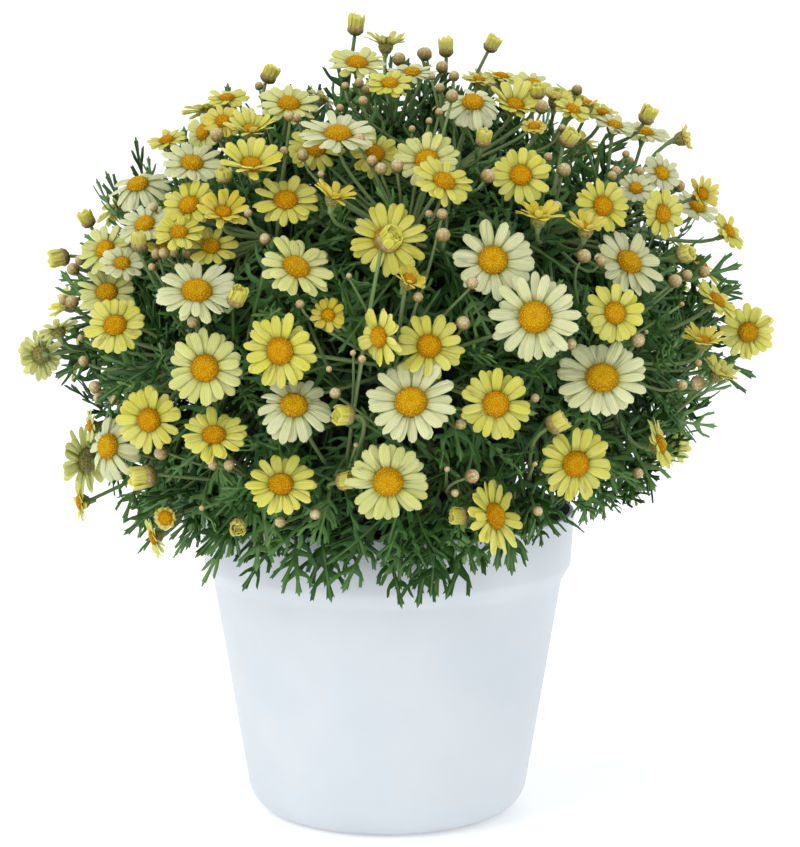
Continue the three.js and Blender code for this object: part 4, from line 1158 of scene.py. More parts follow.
def rod_along(points, start_radius, end_radius):
    """The rod's points, bent along the curve that the points pull."""
    line = curve(points, STALK_RINGS)
    ways = np.gradient(line, axis=0)
    side = basis_of(unit(ways[0]))[0]
    rings = []
    for i, way in enumerate(ways):
        way = unit(way)
        side = unit(side - way * (side @ way))
        share = i / (STALK_RINGS - 1)
        rings.append((side, np.cross(way, side), start_radius + (end_radius - start_radius) * share))
    level = np.rint(ROD.points[:, 2] * (STALK_RINGS - 1)).astype(int)
    first = np.array([ring[0] for ring in rings])[level]
    second = np.array([ring[1] for ring in rings])[level]
    radius = np.array([ring[2] for ring in rings])[level][:, None]
    return line[level] + radius * (ROD.points[:, :1] * first + ROD.points[:, 1:2] * second)

# %% [markdown]
# ## Leaf
# A marguerite leaf is cut almost to its rib into a few narrow lobes, like small antlers: each
# has a neck, bends forwards, widens, and ends in three short teeth. The leaf is grown edge by
# edge from a small plane. The far edge is extruded along the rib, side edges are extruded
# outwards and forwards for the lobes, and the last edge of each tooth is merged into a point.
# Every second lobe is a little longer, so that no leaf is quite even. A simpler leaf serves the
# inside of the bush, where only dark shapes show. Cutting the lobes out of a whole blade would
# leave many more faces.

# %% Growing an outline edge by edge
RIB_WIDTH = 0.052
LEAF_SKIN = 0.012
LOBE_BASE = 0.085
LOBE_BEND = math.radians(13)


def middle(edge):
    return (edge.verts[0].co + edge.verts[1].co) / 2


def grow(obj, near, move, scale):
    """Extrudes the outline's edge nearest to a place. With no scale it ends in a point."""
    mesh = bmesh.from_edit_mesh(obj.data)
    rim = [edge for edge in mesh.edges if edge.is_boundary]
    chosen = min(rim, key=lambda edge: (middle(edge) - Vector(near)).length)
    start = middle(chosen)
    select_where(obj, "edges", lambda edge: edge.is_boundary and (middle(edge) - start).length < 1e-5)
    bpy.ops.mesh.extrude_edges_move(TRANSFORM_OT_translate={"value": move})
    end = start + Vector(move)
    if scale:
        bpy.ops.transform.resize(value=(scale, scale, scale), center_override=end)
    else:
        bpy.ops.mesh.merge(type="CENTER")
    return end

# %% Teeth and lobes
def grow_teeth(leaf, neck, blade, way, length, half_width):
    """Three teeth at the end of a blade: the middle one is its end, the others its sides."""
    across = Vector((-way.y, way.x, 0))
    for side in (-1, 1):
        edge = (neck + blade) / 2 + across * side * half_width
        point = blade + across * side * half_width * 1.6 + way * length * 0.06
        grow(leaf, edge, point - edge, 0)
    grow(leaf, blade, way * length * 0.19, 0)


def grow_lobe(leaf, along, side, length, lean, lift, toothed):
    """One side lobe: a neck, then a blade bent forwards and lifted or sunk a little."""
    out = Vector((math.cos(lean + LOBE_BEND), side * math.sin(lean + LOBE_BEND), lift))
    way = Vector((math.cos(lean - LOBE_BEND), side * math.sin(lean - LOBE_BEND), -lift / 2))
    root = Vector((along, side * RIB_WIDTH / 2, 0))
    neck = grow(leaf, root, out * length * 0.40, 0.62)
    blade = grow(leaf, neck, way * length * 0.38, 1.34)
    if toothed:
        grow_teeth(leaf, neck, blade, way, length, LOBE_BASE * 0.62 * 0.42)
    else:
        grow(leaf, blade, way * length * 0.30, 0)

# %% Whole leaves
def model_leaf(name, lobes):
    """A leaf one unit long; lobes gives each pair's place, length, lean off the rib and teeth."""
    clear_selection()
    bpy.ops.mesh.primitive_plane_add(size=1)
    leaf = bpy.context.object
    leaf.name = name
    first = lobes[0][0] - LOBE_BASE / 2
    bpy.ops.object.mode_set(mode="EDIT")
    bpy.ops.transform.resize(value=(first, RIB_WIDTH * 0.7, 1))
    bpy.ops.transform.translate(value=(first / 2, 0, 0))
    end = Vector((first, 0, 0))
    stops = []
    for along, *_ in lobes:
        stops += [along - LOBE_BASE / 2, along + LOBE_BASE / 2]
    stops += [lobes[-1][0] + 0.12]
    for stop in stops[1:]:
        end = grow(leaf, end, (stop - end.x, 0, 0), 1.0)
    for pair, (along, length, lean, toothed) in enumerate(lobes):
        for side in (-1, 1):
            longer = 1 + 0.08 * side * (-1) ** pair
            grow_lobe(leaf, along, side, length * longer, math.radians(lean), 0.22 * side, toothed)
    tip = grow(leaf, end, (0.10, 0, 0), 1.2)
    grow_teeth(leaf, end, tip, Vector((1, 0, 0)), 0.30, RIB_WIDTH * 0.55)
    bpy.ops.object.mode_set(mode="OBJECT")
    skin = leaf.modifiers.new("skin", "SOLIDIFY")
    skin.thickness = LEAF_SKIN
    bpy.ops.object.modifier_apply(modifier=skin.name)
    return Pattern(leaf, flat_map, flat_sides=True)


LEAVES = [
    model_leaf("leaf_two_pairs", [(0.42, 0.27, 48, True), (0.64, 0.27, 40, True)]),
    model_leaf("leaf_three_pairs", [
        (0.34, 0.17, 56, False), (0.50, 0.26, 48, True), (0.68, 0.20, 40, False)]),
]
INNER_LEAF = model_leaf("leaf_inner", [(0.50, 0.30, 46, False)])

# %% [markdown]
# ## Finishes of the plant
# The petals run from cream to clear yellow, bloom by bloom. Each bloom's tone is kept on its
# points as an attribute, so one finish serves them all. The petal's own coordinates make its
# foot greenish and darker, its own colour with painted shade near the disc, paint shade on the
# foot's edges and darken the troughs of its fine creases as painted shade. The disc is a deeper
# gold in the middle, with painted shade in the pit between each two florets. The leaves have the
# grey bloom of their wax, and the scales of buds and calyxes have dry edges.

# %% Petal finish
# How many fine creases run along a petal; the finish paints shade in their troughs
PETAL_LINES = 5

petal_finish = Finish(
    "petal", Roughness=0.6, Specular_IOR_Level=0.2, Subsurface_Weight=0.5, Subsurface_Scale=0.004,
    Subsurface_Radius=(1.0, 0.95, 0.5))
tone = petal_finish.attribute(TONE)
along = petal_finish.shape(0)
across = petal_finish.shape(1)
petal_colour = petal_finish.ramp(
    tone, (0.0, light(228, 232, 172)), (0.34, light(226, 228, 130)),
    (0.67, light(230, 221, 74)), (1.0, light(233, 200, 20)))
patch = petal_finish.mask(petal_finish.noise(75, 2), 0.3, 0.7)
petal_colour = petal_finish.mix(0.22 * patch, petal_colour, light(236, 236, 180))
petal_colour = petal_finish.mix(0.2 - 0.2 * patch, petal_colour, light(176, 176, 84))
# Painted shade: the petal darkens in the troughs of its fine creases and towards its foot.
groove = petal_finish.maths("COSINE", (across - 0.5) * (2 * math.pi * PETAL_LINES)) * 0.5 + 0.5
grooved = groove * petal_finish.mask(along, 0.05, 0.4)
petal_colour = petal_finish.mix(0.22 - 0.22 * grooved, petal_colour, light(160, 160, 62))
# The foot turns greenish and darker: partly its own colour, partly painted shade near the disc.
base_shade = 1 - petal_finish.mask(along, 0.05, 0.40)
petal_colour = petal_finish.mix(0.65 * base_shade, petal_colour, light(160, 156, 36))
# The edges of the narrow foot lie in shade between two petals
aside = petal_finish.maths("ABSOLUTE", across - 0.5) - along * 0.5
foot_edge = petal_finish.mask(aside, 0.14, 0.25) * (1 - petal_finish.mask(along, 0.25, 0.6))
petal_colour = petal_finish.mix(0.6 * foot_edge, petal_colour, light(112, 114, 30))
petal_finish.feed("Base Color", petal_colour)
petal_finish.bump(grooved, 0.35, 0.0004)
print("the petal finish has", len(petal_finish.tree.nodes), "nodes")

# %% Disc finish
disc_finish = Finish("disc", Roughness=0.8, Specular_IOR_Level=0.08)
florets = disc_finish.node("ShaderNodeTexVoronoi", None, {
    "Vector": disc_finish.node("ShaderNodeTexCoord", output=3), "Scale": 960})
from_middle = disc_finish.shape(0)
disc_colour = disc_finish.mix(
    disc_finish.attribute(TONE), light(252, 206, 34), light(240, 172, 16))
disc_colour = disc_finish.mix(
    0.35 - 0.35 * disc_finish.mask(from_middle, 0.05, 0.45), disc_colour, light(220, 146, 4))
# Painted shade in the pits between the florets, deeper towards the disc's rim.
pit_shade = disc_finish.mask(florets, 0.12, 0.52)
disc_colour = disc_finish.mix(
    pit_shade * (0.45 + 0.25 * disc_finish.mask(from_middle, 0.4, 0.9)), disc_colour, light(140, 74, 0))
disc_finish.feed("Base Color", disc_colour)
disc_finish.bump(1 - florets, 1.0, 0.0012)

# %% Leaf finish
leaf_finish = Finish("leaf", Roughness=0.52, Specular_IOR_Level=0.14)
tone = leaf_finish.attribute(TONE)
leaf_colour = leaf_finish.ramp(
    tone, (0.0, light(12, 30, 5)), (0.45, light(42, 74, 28)), (0.8, light(80, 118, 62)),
    (1.0, light(124, 158, 92)))
wax = leaf_finish.noise(45, 3)
leaf_colour = leaf_finish.mix(0.3 * leaf_finish.mask(wax, 0.45, 0.7), leaf_colour, light(96, 130, 98))
rib = 1 - leaf_finish.mask(leaf_finish.maths("ABSOLUTE", leaf_finish.shape(1) - 0.5), 0.002, 0.014)
leaf_colour = leaf_finish.mix(0.35 * rib, leaf_colour, light(130, 158, 100))
leaf_finish.feed("Base Color", leaf_colour)
leaf_finish.bump(leaf_finish.noise(700, 3), 0.3, 0.0004)

# %% Stalk finish
STALK_RIBS = 6

stalk_finish = Finish("stalk", Roughness=0.6, Specular_IOR_Level=0.2)
ribs = stalk_finish.maths("SINE", stalk_finish.shape(1) * (2 * math.pi * STALK_RIBS))
stalk_colour = stalk_finish.mix(
    stalk_finish.attribute(TONE), light(66, 92, 46), light(124, 148, 96))
stalk_colour = stalk_finish.mix(0.2 * stalk_finish.noise(90, 3), stalk_colour, light(142, 134, 84))
stalk_finish.feed("Base Color", stalk_colour)
stalk_finish.bump(ribs, 0.5, 0.0002)

# %% Calyx and bud finish
BUD_STREAKS = 8


def scale_edge(finish, scale):
    """How far a point is from the edge between two small scales."""
    return finish.node("ShaderNodeTexVoronoi", {"feature": "DISTANCE_TO_EDGE"}, {
        "Vector": finish.node("ShaderNodeTexCoord", output=3), "Scale": scale})


calyx_finish = Finish("calyx", Roughness=0.65, Specular_IOR_Level=0.2)
scale_edges = scale_edge(calyx_finish, 420)
dry = 1 - calyx_finish.mask(scale_edges, 0.04, 0.16)
calyx_colour = calyx_finish.mix(
    calyx_finish.noise(120, 2), light(92, 104, 50), light(122, 126, 66))
calyx_colour = calyx_finish.mix(0.6 * dry, calyx_colour, light(176, 152, 96))
calyx_finish.feed("Base Color", calyx_colour)
calyx_finish.bump(calyx_finish.mask(scale_edges, 0.0, 0.3), 0.6, 0.0006)

bud_finish = Finish("bud", Roughness=0.6, Specular_IOR_Level=0.25)
scale_edges = scale_edge(bud_finish, 460)
height = bud_finish.shape(0)
blotch = bud_finish.noise(260, 2)
bud_colour = bud_finish.ramp(
    height * 0.45 + 0.38 + 0.24 * blotch, (0.0, light(84, 98, 44)), (0.3, light(116, 116, 58)),
    (0.55, light(170, 150, 96)), (0.85, light(212, 194, 144)), (1.0, light(226, 214, 172)))
turn = bud_finish.shape(1) * (2 * math.pi * BUD_STREAKS)
streak = bud_finish.maths("SINE", turn + blotch * 3.0) * 0.5 + 0.5
streak = streak * bud_finish.mask(height, 1.1, 0.2)
bud_colour = bud_finish.mix(0.35 * streak, bud_colour, light(126, 88, 54))
bud_colour = bud_finish.mix(
    0.45 - 0.45 * bud_finish.mask(scale_edges, 0.02, 0.12), bud_colour, light(112, 76, 44))
bud_finish.feed("Base Color", bud_colour)
bud_finish.bump(bud_finish.mask(scale_edges, 0.0, 0.3) + streak * 0.6, 0.6, 0.0006)

# %% [markdown]
# ## The flower sprays
# A spray is all that grows from one fork: the knob of the fork, its stalks, and a bloom or bud
# on each. A bloom is put together as it grows. The calyx bowl sits on the flared top of the
# stalk, the petals stand in its edge in two layers, every other one a little higher, and the
# disc fills the middle. No two petals are quite alike: each gets its own small change of
# length, rise, curl and twist.

# %% Petals of a bloom
PETAL_SLOT, DISC_SLOT, STALK_SLOT, CALYX_SLOT, BUD_SLOT = range(5)
FLOWER_FINISHES = [petal_finish, disc_finish, stalk_finish, calyx_finish, bud_finish]
PETAL_SHAPES = {
    "flat": {"rise": 11, "curl": -16, "layer": 5, "spread": 10},
    "droop": {"rise": -8, "curl": -38, "layer": 5, "spread": 12},
    "cup": {"rise": 46, "curl": -30, "layer": 9, "spread": 12},
}
PETAL_OVERLAP = 1.3
# Each petal's own share of its bloom's curl, length and width, from the least to the most
CURL_SHARES = (0.5, 1.6)
LENGTH_SHARES = (0.84, 1.03)
WIDTH_SHARES = (0.84, 1.16)
# Some petals hang lower and are shorter
STRAY_SHARE = 0.1
STRAY_SINK = 14
STRAY_LENGTH = 0.9
# A petal's foot stands under the edge of the disc, at this share of its radius
FOOT_SHARE = 0.72
LONGEST_PETAL = PETAL_LENGTH + 4
FEWEST_PETALS, MOST_PETALS, CUP_PETALS = 16, 24, 19
petal_draw = draws(404).__next__


def sway(width):
    """A draw on either side of 0, within a width."""
    return width * (petal_draw() - 0.5)


def petal_number(width, form):
    """A narrow bloom has fewer petals than a wide one."""
    if form == "cup":
        return CUP_PETALS
    return int(np.clip(round(11 + width * 0.26), FEWEST_PETALS, MOST_PETALS))


def add_petals(growth, flower):
    """A ring of petals, every other one higher, as long as the bloom's width asks."""
    sizes, form, axis = flower["sizes"], flower["form"], flower["axis"]
    count = petal_number(flower["width"], form) + int(3 * petal_draw()) - 1
    shape = PETAL_SHAPES[form]
    first, second = basis_of(axis, flower["turn"])
    disc = sizes["disc"]
    slope = math.cos(math.radians(shape["rise"] + shape["curl"] / 2))
    reach = min((sizes["radius"] - FOOT_SHARE * disc) / max(slope, 0.5), LONGEST_PETAL)
    pitch = 2 * math.pi * (disc + (sizes["radius"] - disc) * 0.6) / count
    for i in range(count):
        angle = 2 * math.pi * (i + sway(0.75)) / count
        swing = angle + math.radians(sway(12))
        base = first * math.cos(angle) + second * math.sin(angle)
        out = first * math.cos(swing) + second * math.sin(swing)
        layer = shape["layer"] * (1 if i % 2 else -0.4)
        rise = shape["rise"] + layer + sway(shape["spread"])
        curl = shape["curl"] * between(CURL_SHARES, petal_draw())
        length = reach * between(LENGTH_SHARES, petal_draw())
        if petal_draw() < STRAY_SHARE:
            rise -= STRAY_SINK
            length *= STRAY_LENGTH
        pattern = PETALS[int(len(PETALS) * petal_draw())]
        petal = bent(
            pattern.points, length, pitch * PETAL_OVERLAP * between(WIDTH_SHARES, petal_draw()),
            math.radians(rise), math.radians(curl), math.radians(sway(50)))
        root = flower["place"] + base * disc * FOOT_SHARE + axis * (-0.9 + (0.5 if i % 2 else 0))
        tone = flower["tone"] + sway(0.12)
        growth.add(pattern, placed(petal, root, out, np.cross(axis, out), axis), PETAL_SLOT, tone)

# %% A bloom
def add_bloom(growth, flower):
    """The petals, the disc that fills the middle, and the calyx under both."""
    add_petals(growth, flower)
    axis, place, disc = flower["axis"], flower["place"], flower["sizes"]["disc"]
    first, second = basis_of(axis, flower["turn"])
    age = 0.25 + 0.6 * flower["tone"] + sway(0.3)
    growth.add(DISC, placed(DISC.points * disc, place, first, second, axis), DISC_SLOT, age)
    bowl = CALYX.points * np.array([disc * 0.98, disc * 0.98, CALYX_DEPTH - 0.6])
    growth.add(CALYX, placed(bowl, place - axis * 0.9, first, second, axis), CALYX_SLOT, 0.5)

# %% [markdown]
# ## Buds
# A closed bud is a ball of overlapping scales. When it opens, the scales stay behind as a cup,
# and the young petals stand out of it as a tight brush. The brush could be a pattern of its
# own. Here it is three rings of the same petals, nearly upright and shorter towards the middle,
# so that each opening bud is a little different.

# %% A bud
# An opening bud's brush of petals: how many, how far from the axis in shares of the bud's width,
# how long in shares of its length, and how steeply they stand
BRUSH = ((11, 0.42, 0.80, 88), (8, 0.26, 0.72, 88), (5, 0.10, 0.62, 90))
BRUSH_FOOT = 0.20
BRUSH_TONE = 0.72
# A bud this wide is opening. Its scales then only make a cup, this share of its length deep.
OPENING_WIDTH = 9
CUP_DEPTH = 0.62


def add_brush(growth, flower, first, second):
    """The petals that push out of an opening bud, in three rings."""
    axis, place, width = flower["axis"], flower["place"], flower["width"]
    length = width * flower["stretch"]
    for petals, ring, share, rise in BRUSH:
        for i in range(petals):
            angle = 2 * math.pi * (i + 0.4 * petal_draw()) / petals
            out = first * math.cos(angle) + second * math.sin(angle)
            pattern = PETALS[int(len(PETALS) * petal_draw())]
            petal = bent(
                pattern.points, length * share * (0.84 + 0.22 * petal_draw()), width * 0.42,
                math.radians(rise + sway(12)), math.radians(4))
            root = place + axis * length * BRUSH_FOOT + out * width * ring
            blade = placed(petal, root, out, np.cross(axis, out), axis)
            growth.add(pattern, blade, PETAL_SLOT, BRUSH_TONE)


def add_bud(growth, flower):
    """A closed bud, or an opening one with its brush of petals."""
    axis, place, width = flower["axis"], flower["place"], flower["width"]
    first, second = basis_of(axis, flower["turn"])
    length = width * flower["stretch"]
    opening = width >= OPENING_WIDTH
    half = length / 2 * (CUP_DEPTH if opening else 1)
    ball = BUD.points * np.array([width / 2, width / 2, half])
    growth.add(BUD, placed(ball, place + axis * half, first, second, axis), BUD_SLOT, petal_draw())
    if opening:
        add_brush(growth, flower, first, second)

# %% [markdown]
# ## Stalks, and whole sprays
# Each head stands on a thin ribbed stalk that comes from its fork and turns into the head's own
# axis before it meets the calyx. Under a bloom it widens. The rod pattern is bent along a curve
# for each, because straight sticks would give the bush away at once.

# %% A stalk
# Radii of a stalk at its fork and under a small bud, and of the knob at the fork
STALK_FOOT = 1.3
BUD_STALK = 0.75
FORK_KNOB = 2.1


def add_stalk(growth, flower):
    """A ribbed stalk, flared under the head; a straight one gets a slight bow of its own."""
    path = flower["path"]
    fork = path[-1]
    top = path[0] + flower["axis"] * (-0.2 if flower["form"] == "bud" else 1.2)
    if len(path) == 2:
        way = fork - top
        bow = np.cross(unit(way), flower["slide"]) * np.linalg.norm(way) * sway(0.12)
        pulls = [fork, (fork + top) / 2 + bow, top]
    else:
        pulls = [fork, fork + outward(fork) * 8, path[1] + (fork - path[1]) * 0.25, path[1], top]
    stalk = rod_along(pulls, STALK_FOOT, BUD_STALK if flower["width"] < OPENING_WIDTH else STALK_RADIUS)
    growth.add(ROD, stalk, STALK_SLOT, 0.35 + 0.65 * petal_draw())
    if flower["form"] != "bud":
        flare = [path[0] - flower["axis"] * 4, path[0] + flower["axis"] * 1.5]
        growth.add(ROD, rod_along(flare, 1.0, 2.6), STALK_SLOT, 0.8)

# %% Sprays
SPRAY_NODES = sorted(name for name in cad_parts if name.startswith("flower_spray"))
for fork, node in enumerate(SPRAY_NODES):
    growth = Growth()
    growth.add(BUD, forks[fork]["place"] + BUD.points * FORK_KNOB, STALK_SLOT, 0.4)
    for flower in flowers:
        if flower["fork"] == fork:
            add_stalk(growth, flower)
            if flower["form"] == "bud":
                add_bud(growth, flower)
            else:
                add_bloom(growth, flower)
    spray = growth.piece(node.replace("flower_spray", "daisy_spray"), FLOWER_FINISHES)
    stands_for(spray, "flowers", node)
spray_triangles = sum(triangle_count(o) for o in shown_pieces() if o.name.startswith("daisy_spray"))
print(len(SPRAY_NODES), "sprays,", spray_triangles, "triangles")

# %% [markdown]
# ## Stems and leaves
# Under the flowers is a ball of leaves. The fourteen stems each carry three main shoots to the
# forks, and many finer side shoots that end a few centimetres under the blooms. Leaves stand
# round each side shoot by the golden angle, longer and more spread below, shorter and steeper
# at the tip, and arch outwards. A leaf that would cut through a head, hide one or enter the pot
# is drawn again. The leaves of the lowest shoots droop, and the single leaves of a fringe hang
# over the rim.

# %% Where leaves may be
FINE_SHOOTS = 290
# How far down from the top the shoots reach, where the whole ball is 2 high
SHOOTS_SPREAD = 1.56
LEAVES_ON_SHOOT = 6
# Below this elevation the shoots' leaves droop
DROOP_BELOW = -8
LEAF_LENGTH = 66
LEAF_TRIES = 6
# How low the leaves hang, by how far aside they are: they end higher at the right
SKIRT_ASIDE = (-205, -188, -172, -160, -120, -60, 0, 30, 95, 120, 150, 160, 180, 200, 215)
SKIRT_LOWEST = (265, 240, 200, 168, 162, 155, 150, 152, 178, 185, 198, 214, 230, 246, 262)
# The leaves on shoots end higher than the single leaves of the fringe
SHOOTS_LOWEST = (265, 240, 203, 178, 178, 176, 170, 172, 190, 194, 202, 216, 230, 246, 262)
ABOVE_RIM, BESIDE_RIM = 3, 2
HEAD_CLEARANCE = 1.5
# How much of a bloom's radius no leaf may hide
SHOWN_SHARE = 0.92

head_place = np.array([flower["place"] for flower in flowers])
head_axis = np.array([flower["axis"] for flower in flowers])
head_slide = np.array([flower["slide"] for flower in flowers])
head_low = np.array([flower["sizes"]["low"] for flower in flowers])
head_high = np.array([flower["sizes"]["high"] for flower in flowers])
head_radius = np.array([flower["sizes"]["radius"] for flower in flowers])
is_bloom = np.array([flower["form"] != "bud" for flower in flowers])


def leaf_is_clear(points, lowest):
    """Whether sample points stay out of the pot and the heads, and don't hide a bloom."""
    low = points[:, 2] < POT_HEIGHT + ABOVE_RIM
    near_axis = np.hypot(points[:, 0], points[:, 1]) < RIM_RADIUS + BESIDE_RIM
    if (low & near_axis).any():
        return False
    if (points[:, 2] < np.interp(points[:, 0], SKIRT_ASIDE, lowest)).any():
        return False
    away = points[:, None] - head_place[None]
    height = (away * head_axis).sum(axis=2)
    aside = (away ** 2).sum(axis=2) - height ** 2
    level = (height > head_low - HEAD_CLEARANCE) & (height < head_high + HEAD_CLEARANCE)
    inside = level & (aside < (head_radius + 1) ** 2)
    before = (away * head_slide).sum(axis=2)
    from_sight = (away ** 2).sum(axis=2) - before ** 2
    hides = (before > 0) & (from_sight < (head_radius * SHOWN_SHARE) ** 2) & is_bloom
    return not (inside.any() or hides.any())


# Points of a flat leaf one unit long, on its rib and its lobes, that stand for the whole leaf
LEAF_PROBES = np.array(
    [[0.2, 0, 0], [0.4, 0, 0], [0.6, 0, 0], [0.8, 0, 0], [1, 0, 0], [0.45, 0.16, 0], [0.45, -0.16, 0],
     [0.66, 0.22, 0], [0.66, -0.22, 0], [0.85, 0.18, 0], [0.85, -0.18, 0]])

# %% A leaf in place
LEAF_SLOT, WOOD_SLOT = range(2)
leaf_draw = draws(21).__next__


def add_leaf(growth, pattern, root, along, face, length, curl, tone, lowest=SHOOTS_LOWEST):
    """A leaf from a root; along and face are unit directions square to each other."""
    side = np.cross(face, along)
    probes = placed(bent(LEAF_PROBES, length, length, 0, curl), root, along, side, face)
    if not leaf_is_clear(probes, lowest):
        return False
    blade = bent(pattern.points, length, length, 0, curl, 0.8 * (leaf_draw() - 0.5))
    growth.add(pattern, placed(blade, root, along, side, face), LEAF_SLOT, tone)
    return True


def leaf_directions(way, turn, lean):
    """The leaf's own direction, leaning off the shoot's way, and the way its face looks."""
    first, second = basis_of(way, turn)
    return way * math.cos(lean) + first * math.sin(lean), first * -math.cos(lean) + way * math.sin(lean)

# %% Fine shoots
# Radii at the foot and at the tip
STEM_RADII = (3.1, 2.6)
SHOOT_RADII = (2.2, 1.4)
FINE_RADII = (1.3, 0.8)
FRINGE_RADII = (1.4, 0.9)
fork_ways = np.array([outward(fork["place"]) for fork in forks])


def fork_near(place):
    return forks[int(np.argmax(fork_ways @ outward(place)))]


def stem_near(place):
    """The stem whose fork lies in the same direction from the bush's middle."""
    return fork_near(place)["stem"]


def fine_shoot(i):
    """The root, the pull and the tip of one side shoot, and the stem that it grows from."""
    level = 1 - (i + 0.5) / FINE_SHOOTS * SHOOTS_SPREAD
    elevation = math.degrees(math.asin(level))
    azimuth = math.degrees(i * GOLDEN_ANGLE) + 8 * leaf_draw()
    crown = min(max(elevation - 15, 0) / 60, 1)
    tip = on_bush(azimuth, elevation, 0.75 - 0.12 * crown + 0.11 * leaf_draw())
    fork = fork_near(tip)
    hub = stems[fork["stem"]]["hub"]
    root = hub + (fork["place"] - hub) * (0.3 + 0.5 * leaf_draw())
    pull = (root + tip) / 2 + (outward(tip) - UP * 0.2) * 14
    if elevation < -10:
        pull = pull + UP * 12
    return fork["stem"], [root, pull, tip], elevation

# %% Grow the leafy stems
growths = [Growth() for _ in stems]
leaf_total = 0
for growth, stem in zip(growths, stems):
    hub = stem["hub"]
    growth.add(ROD, rod_along([stem["foot"], stem["collar"], hub], *STEM_RADII), WOOD_SLOT, 0.2)
    for shoot in stem["shoots"]:
        tip = on_bush(*shoot, SHOOT_TIP)
        growth.add(ROD, rod_along([hub, (hub + tip) / 2, tip], *SHOOT_RADII), WOOD_SLOT, 0.5)

for i in range(FINE_SHOOTS):
    index, pulls, elevation = fine_shoot(i)
    growth = growths[index]
    growth.add(ROD, rod_along(pulls, *FINE_RADII), WOOD_SLOT, 0.75)
    line = curve(pulls, LEAVES_ON_SHOOT * 2)
    for k in range(LEAVES_ON_SHOOT):
        spot = LEAVES_ON_SHOOT + k
        root = line[spot]
        way = unit(line[spot] - line[spot - 1])
        age = 1 - k / (LEAVES_ON_SHOOT - 1)
        for attempt in range(LEAF_TRIES):
            turn = (k + i * 0.37 + 0.9 * attempt) * GOLDEN_ANGLE
            lean = math.radians(18 + 42 * age + 14 * leaf_draw())
            along, face = leaf_directions(way, turn, lean)
            if elevation < DROOP_BELOW:
                along = unit(along - UP * (0.25 + 0.5 * leaf_draw()))
                face = unit(face - along * (face @ along))
            length = LEAF_LENGTH * (0.62 + 0.34 * age + 0.22 * leaf_draw()) * (1 - 0.08 * attempt)
            pattern = LEAVES[int(len(LEAVES) * leaf_draw())]
            tone = 0.34 + 0.32 * (1 - age) + 0.34 * leaf_draw()
            curl = -0.1 - 0.6 * leaf_draw()
            if add_leaf(growth, pattern, root, along, face, length, curl, tone):
                leaf_total += 1
                break
print(leaf_total, "leaves on fine shoots")

# %% [markdown]
# ## The fringe
# Single leaves hang over the rim, and the pot shows between them. Short shoots all round carry
# up to three leaves each, which point outwards and down. They could come from the lowest fine
# shoots, but drawn on their own they stay as loose as in the picture.

# %% The fringe that hangs over the rim
FRINGE_SHOOTS = 50
FRINGE_LEAVES = 3

fringe_total = 0
for i in range(FRINGE_SHOOTS):
    azimuth = 360 * (i + 0.6 * leaf_draw()) / FRINGE_SHOOTS
    root = on_bush(azimuth, -30 - 8 * leaf_draw(), 0.64 + 0.12 * leaf_draw())
    index = stem_near(root)
    growth = growths[index]
    hub = stems[index]["hub"]
    pulls = [hub + (root - hub) * 0.3, (hub + root) / 2 + UP * 8, root]
    growth.add(ROD, rod_along(pulls, *FRINGE_RADII), WOOD_SLOT, 0.6)
    out = unit(root * np.array([1, 1, 0]))
    for k in range(FRINGE_LEAVES):
        for attempt in range(LEAF_TRIES):
            side = np.cross(UP, out) * (1.3 * (leaf_draw() - 0.5) + 0.25 * (k - 1.5))
            along = unit(out * (0.5 + 0.7 * leaf_draw()) + side - UP * (0.55 + 0.5 * leaf_draw()))
            face = unit(UP + out * 0.6 - along * ((UP + out * 0.6) @ along))
            length = LEAF_LENGTH * (0.84 + 0.42 * leaf_draw())
            curl = -0.3 - 0.7 * leaf_draw()
            tone = 0.38 + 0.5 * leaf_draw()
            if add_leaf(growth, LEAVES[k % 2], root, along, face, length, curl, tone, SKIRT_LOWEST):
                fringe_total += 1
                break
print(fringe_total, "leaves in the fringe")

# %% [markdown]
# ## The leaves inside
# Between the outer leaves the eye meets more leaves, deep in the shade. A shell of the simple
# leaf stands there, half to two thirds of the way out. It has half the faces of the others or
# fewer, because only its dark outline shows.

# %% The dark leaves inside
INNER_SHARES = (0.5, 0.66)
INNER_COUNT = 420
INNER_SPREAD = 1.62
INNER_CURL = -0.6

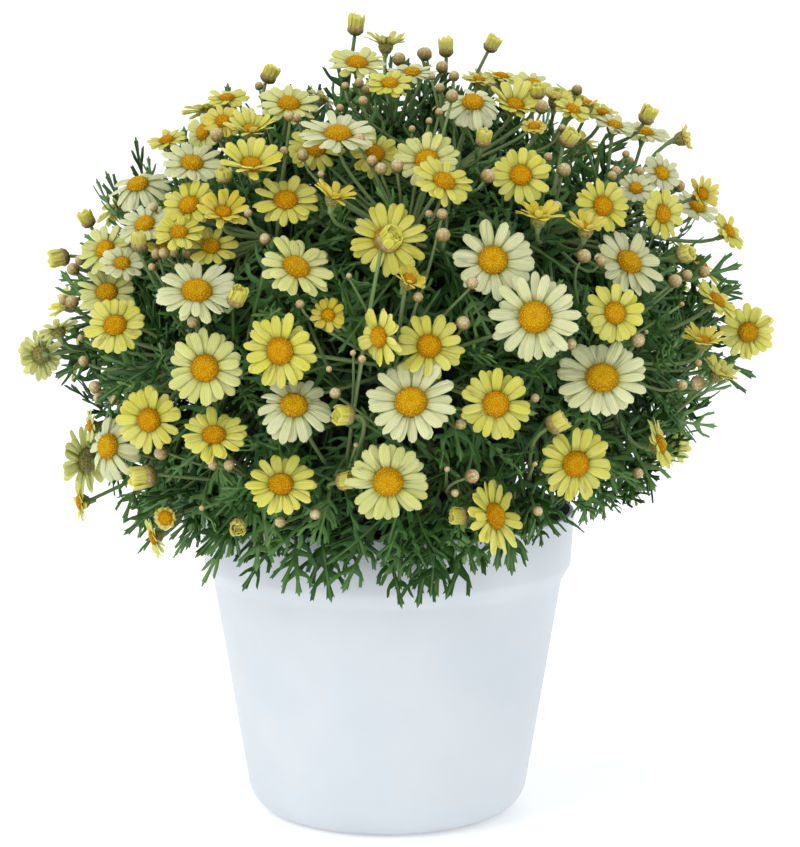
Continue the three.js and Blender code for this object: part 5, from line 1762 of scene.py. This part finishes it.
inner_total = 0
for i in range(INNER_COUNT):
    level = 1 - (i + 0.5) / INNER_COUNT * INNER_SPREAD
    place = on_bush(
        math.degrees(i * GOLDEN_ANGLE), math.degrees(math.asin(level)),
        between(INNER_SHARES, leaf_draw()))
    index = stem_near(place)
    turn, lean = 2 * math.pi * leaf_draw(), math.radians(30 + 50 * leaf_draw())
    along, face = leaf_directions(outward(place), turn, lean)
    # These leaves take the darkest tones: painted shade of the bush's inside.
    tone = 0.1 + 0.25 * leaf_draw()
    if add_leaf(growths[index], INNER_LEAF, place, along, face, LEAF_LENGTH, INNER_CURL, tone):
        inner_total += 1
print(inner_total, "leaves inside")

for index, growth in enumerate(growths):
    node = f"leafy_stem_{index + 1:02d}"
    leafy = growth.piece(f"cut_leaves_{index + 1:02d}", [leaf_finish, stalk_finish])
    stands_for(leafy, "foliage", node)

# %% [markdown]
# ## The heart of the bush
# Deep inside, old stems and leaves are packed so tight that no light comes through. A ball of
# fine faces, pushed in and out by noise, stands for that tangle, and its near-black colour is
# painted shade. It is smaller than the wedges of leaf mass in the CAD model and lies in deep
# shade behind the leaves.

# %% Heart
HEART_SHARE = 0.5
HEART_CUTS = 5
FOLD_SIZE = 14
FOLD_DEPTH = 45

clear_selection()
bpy.ops.mesh.primitive_ico_sphere_add(subdivisions=HEART_CUTS, radius=1)
heart = bpy.context.object
heart.name = "leaf_tangle"
bpy.ops.object.mode_set(mode="EDIT")
bpy.ops.mesh.select_all(action="SELECT")
bpy.ops.transform.resize(value=tuple(BUSH_RADII * HEART_SHARE * MM), center_override=(0, 0, 0))
bpy.ops.transform.translate(value=tuple(BUSH_CENTRE * MM))
bpy.ops.object.mode_set(mode="OBJECT")
tangle = bpy.data.textures.new("tangle", "CLOUDS")
tangle.noise_scale = FOLD_SIZE * MM
tangle.noise_depth = 3
folds = heart.modifiers.new("folds", "DISPLACE")
folds.texture = tangle
folds.texture_coords = "LOCAL"
folds.strength = FOLD_DEPTH * MM
bpy.ops.object.modifier_apply(modifier=folds.name)
# The ball's near-black greens are painted shade of the dense inside of the bush.
shade = Finish("dark_core_painted_shade", Roughness=0.9)
shade.feed("Base Color", shade.ramp(
    shade.noise(140, 4), (0.35, light(14, 26, 14)), (0.7, light(40, 64, 38))))
shade.bump(shade.noise(300, 3), 0.8, 0.003)
heart.data.materials.append(shade.material)
stands_for(heart, "foliage")

# %% [markdown]
# ## Triangles
# The finer pieces keep the CAD model's size. At the end their triangles are counted, in all
# and for the largest piece.

# %% Finish
counts = [triangle_count(o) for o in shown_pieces()]
print("triangles:", sum(counts), "in all, and at most", max(counts), "a piece")
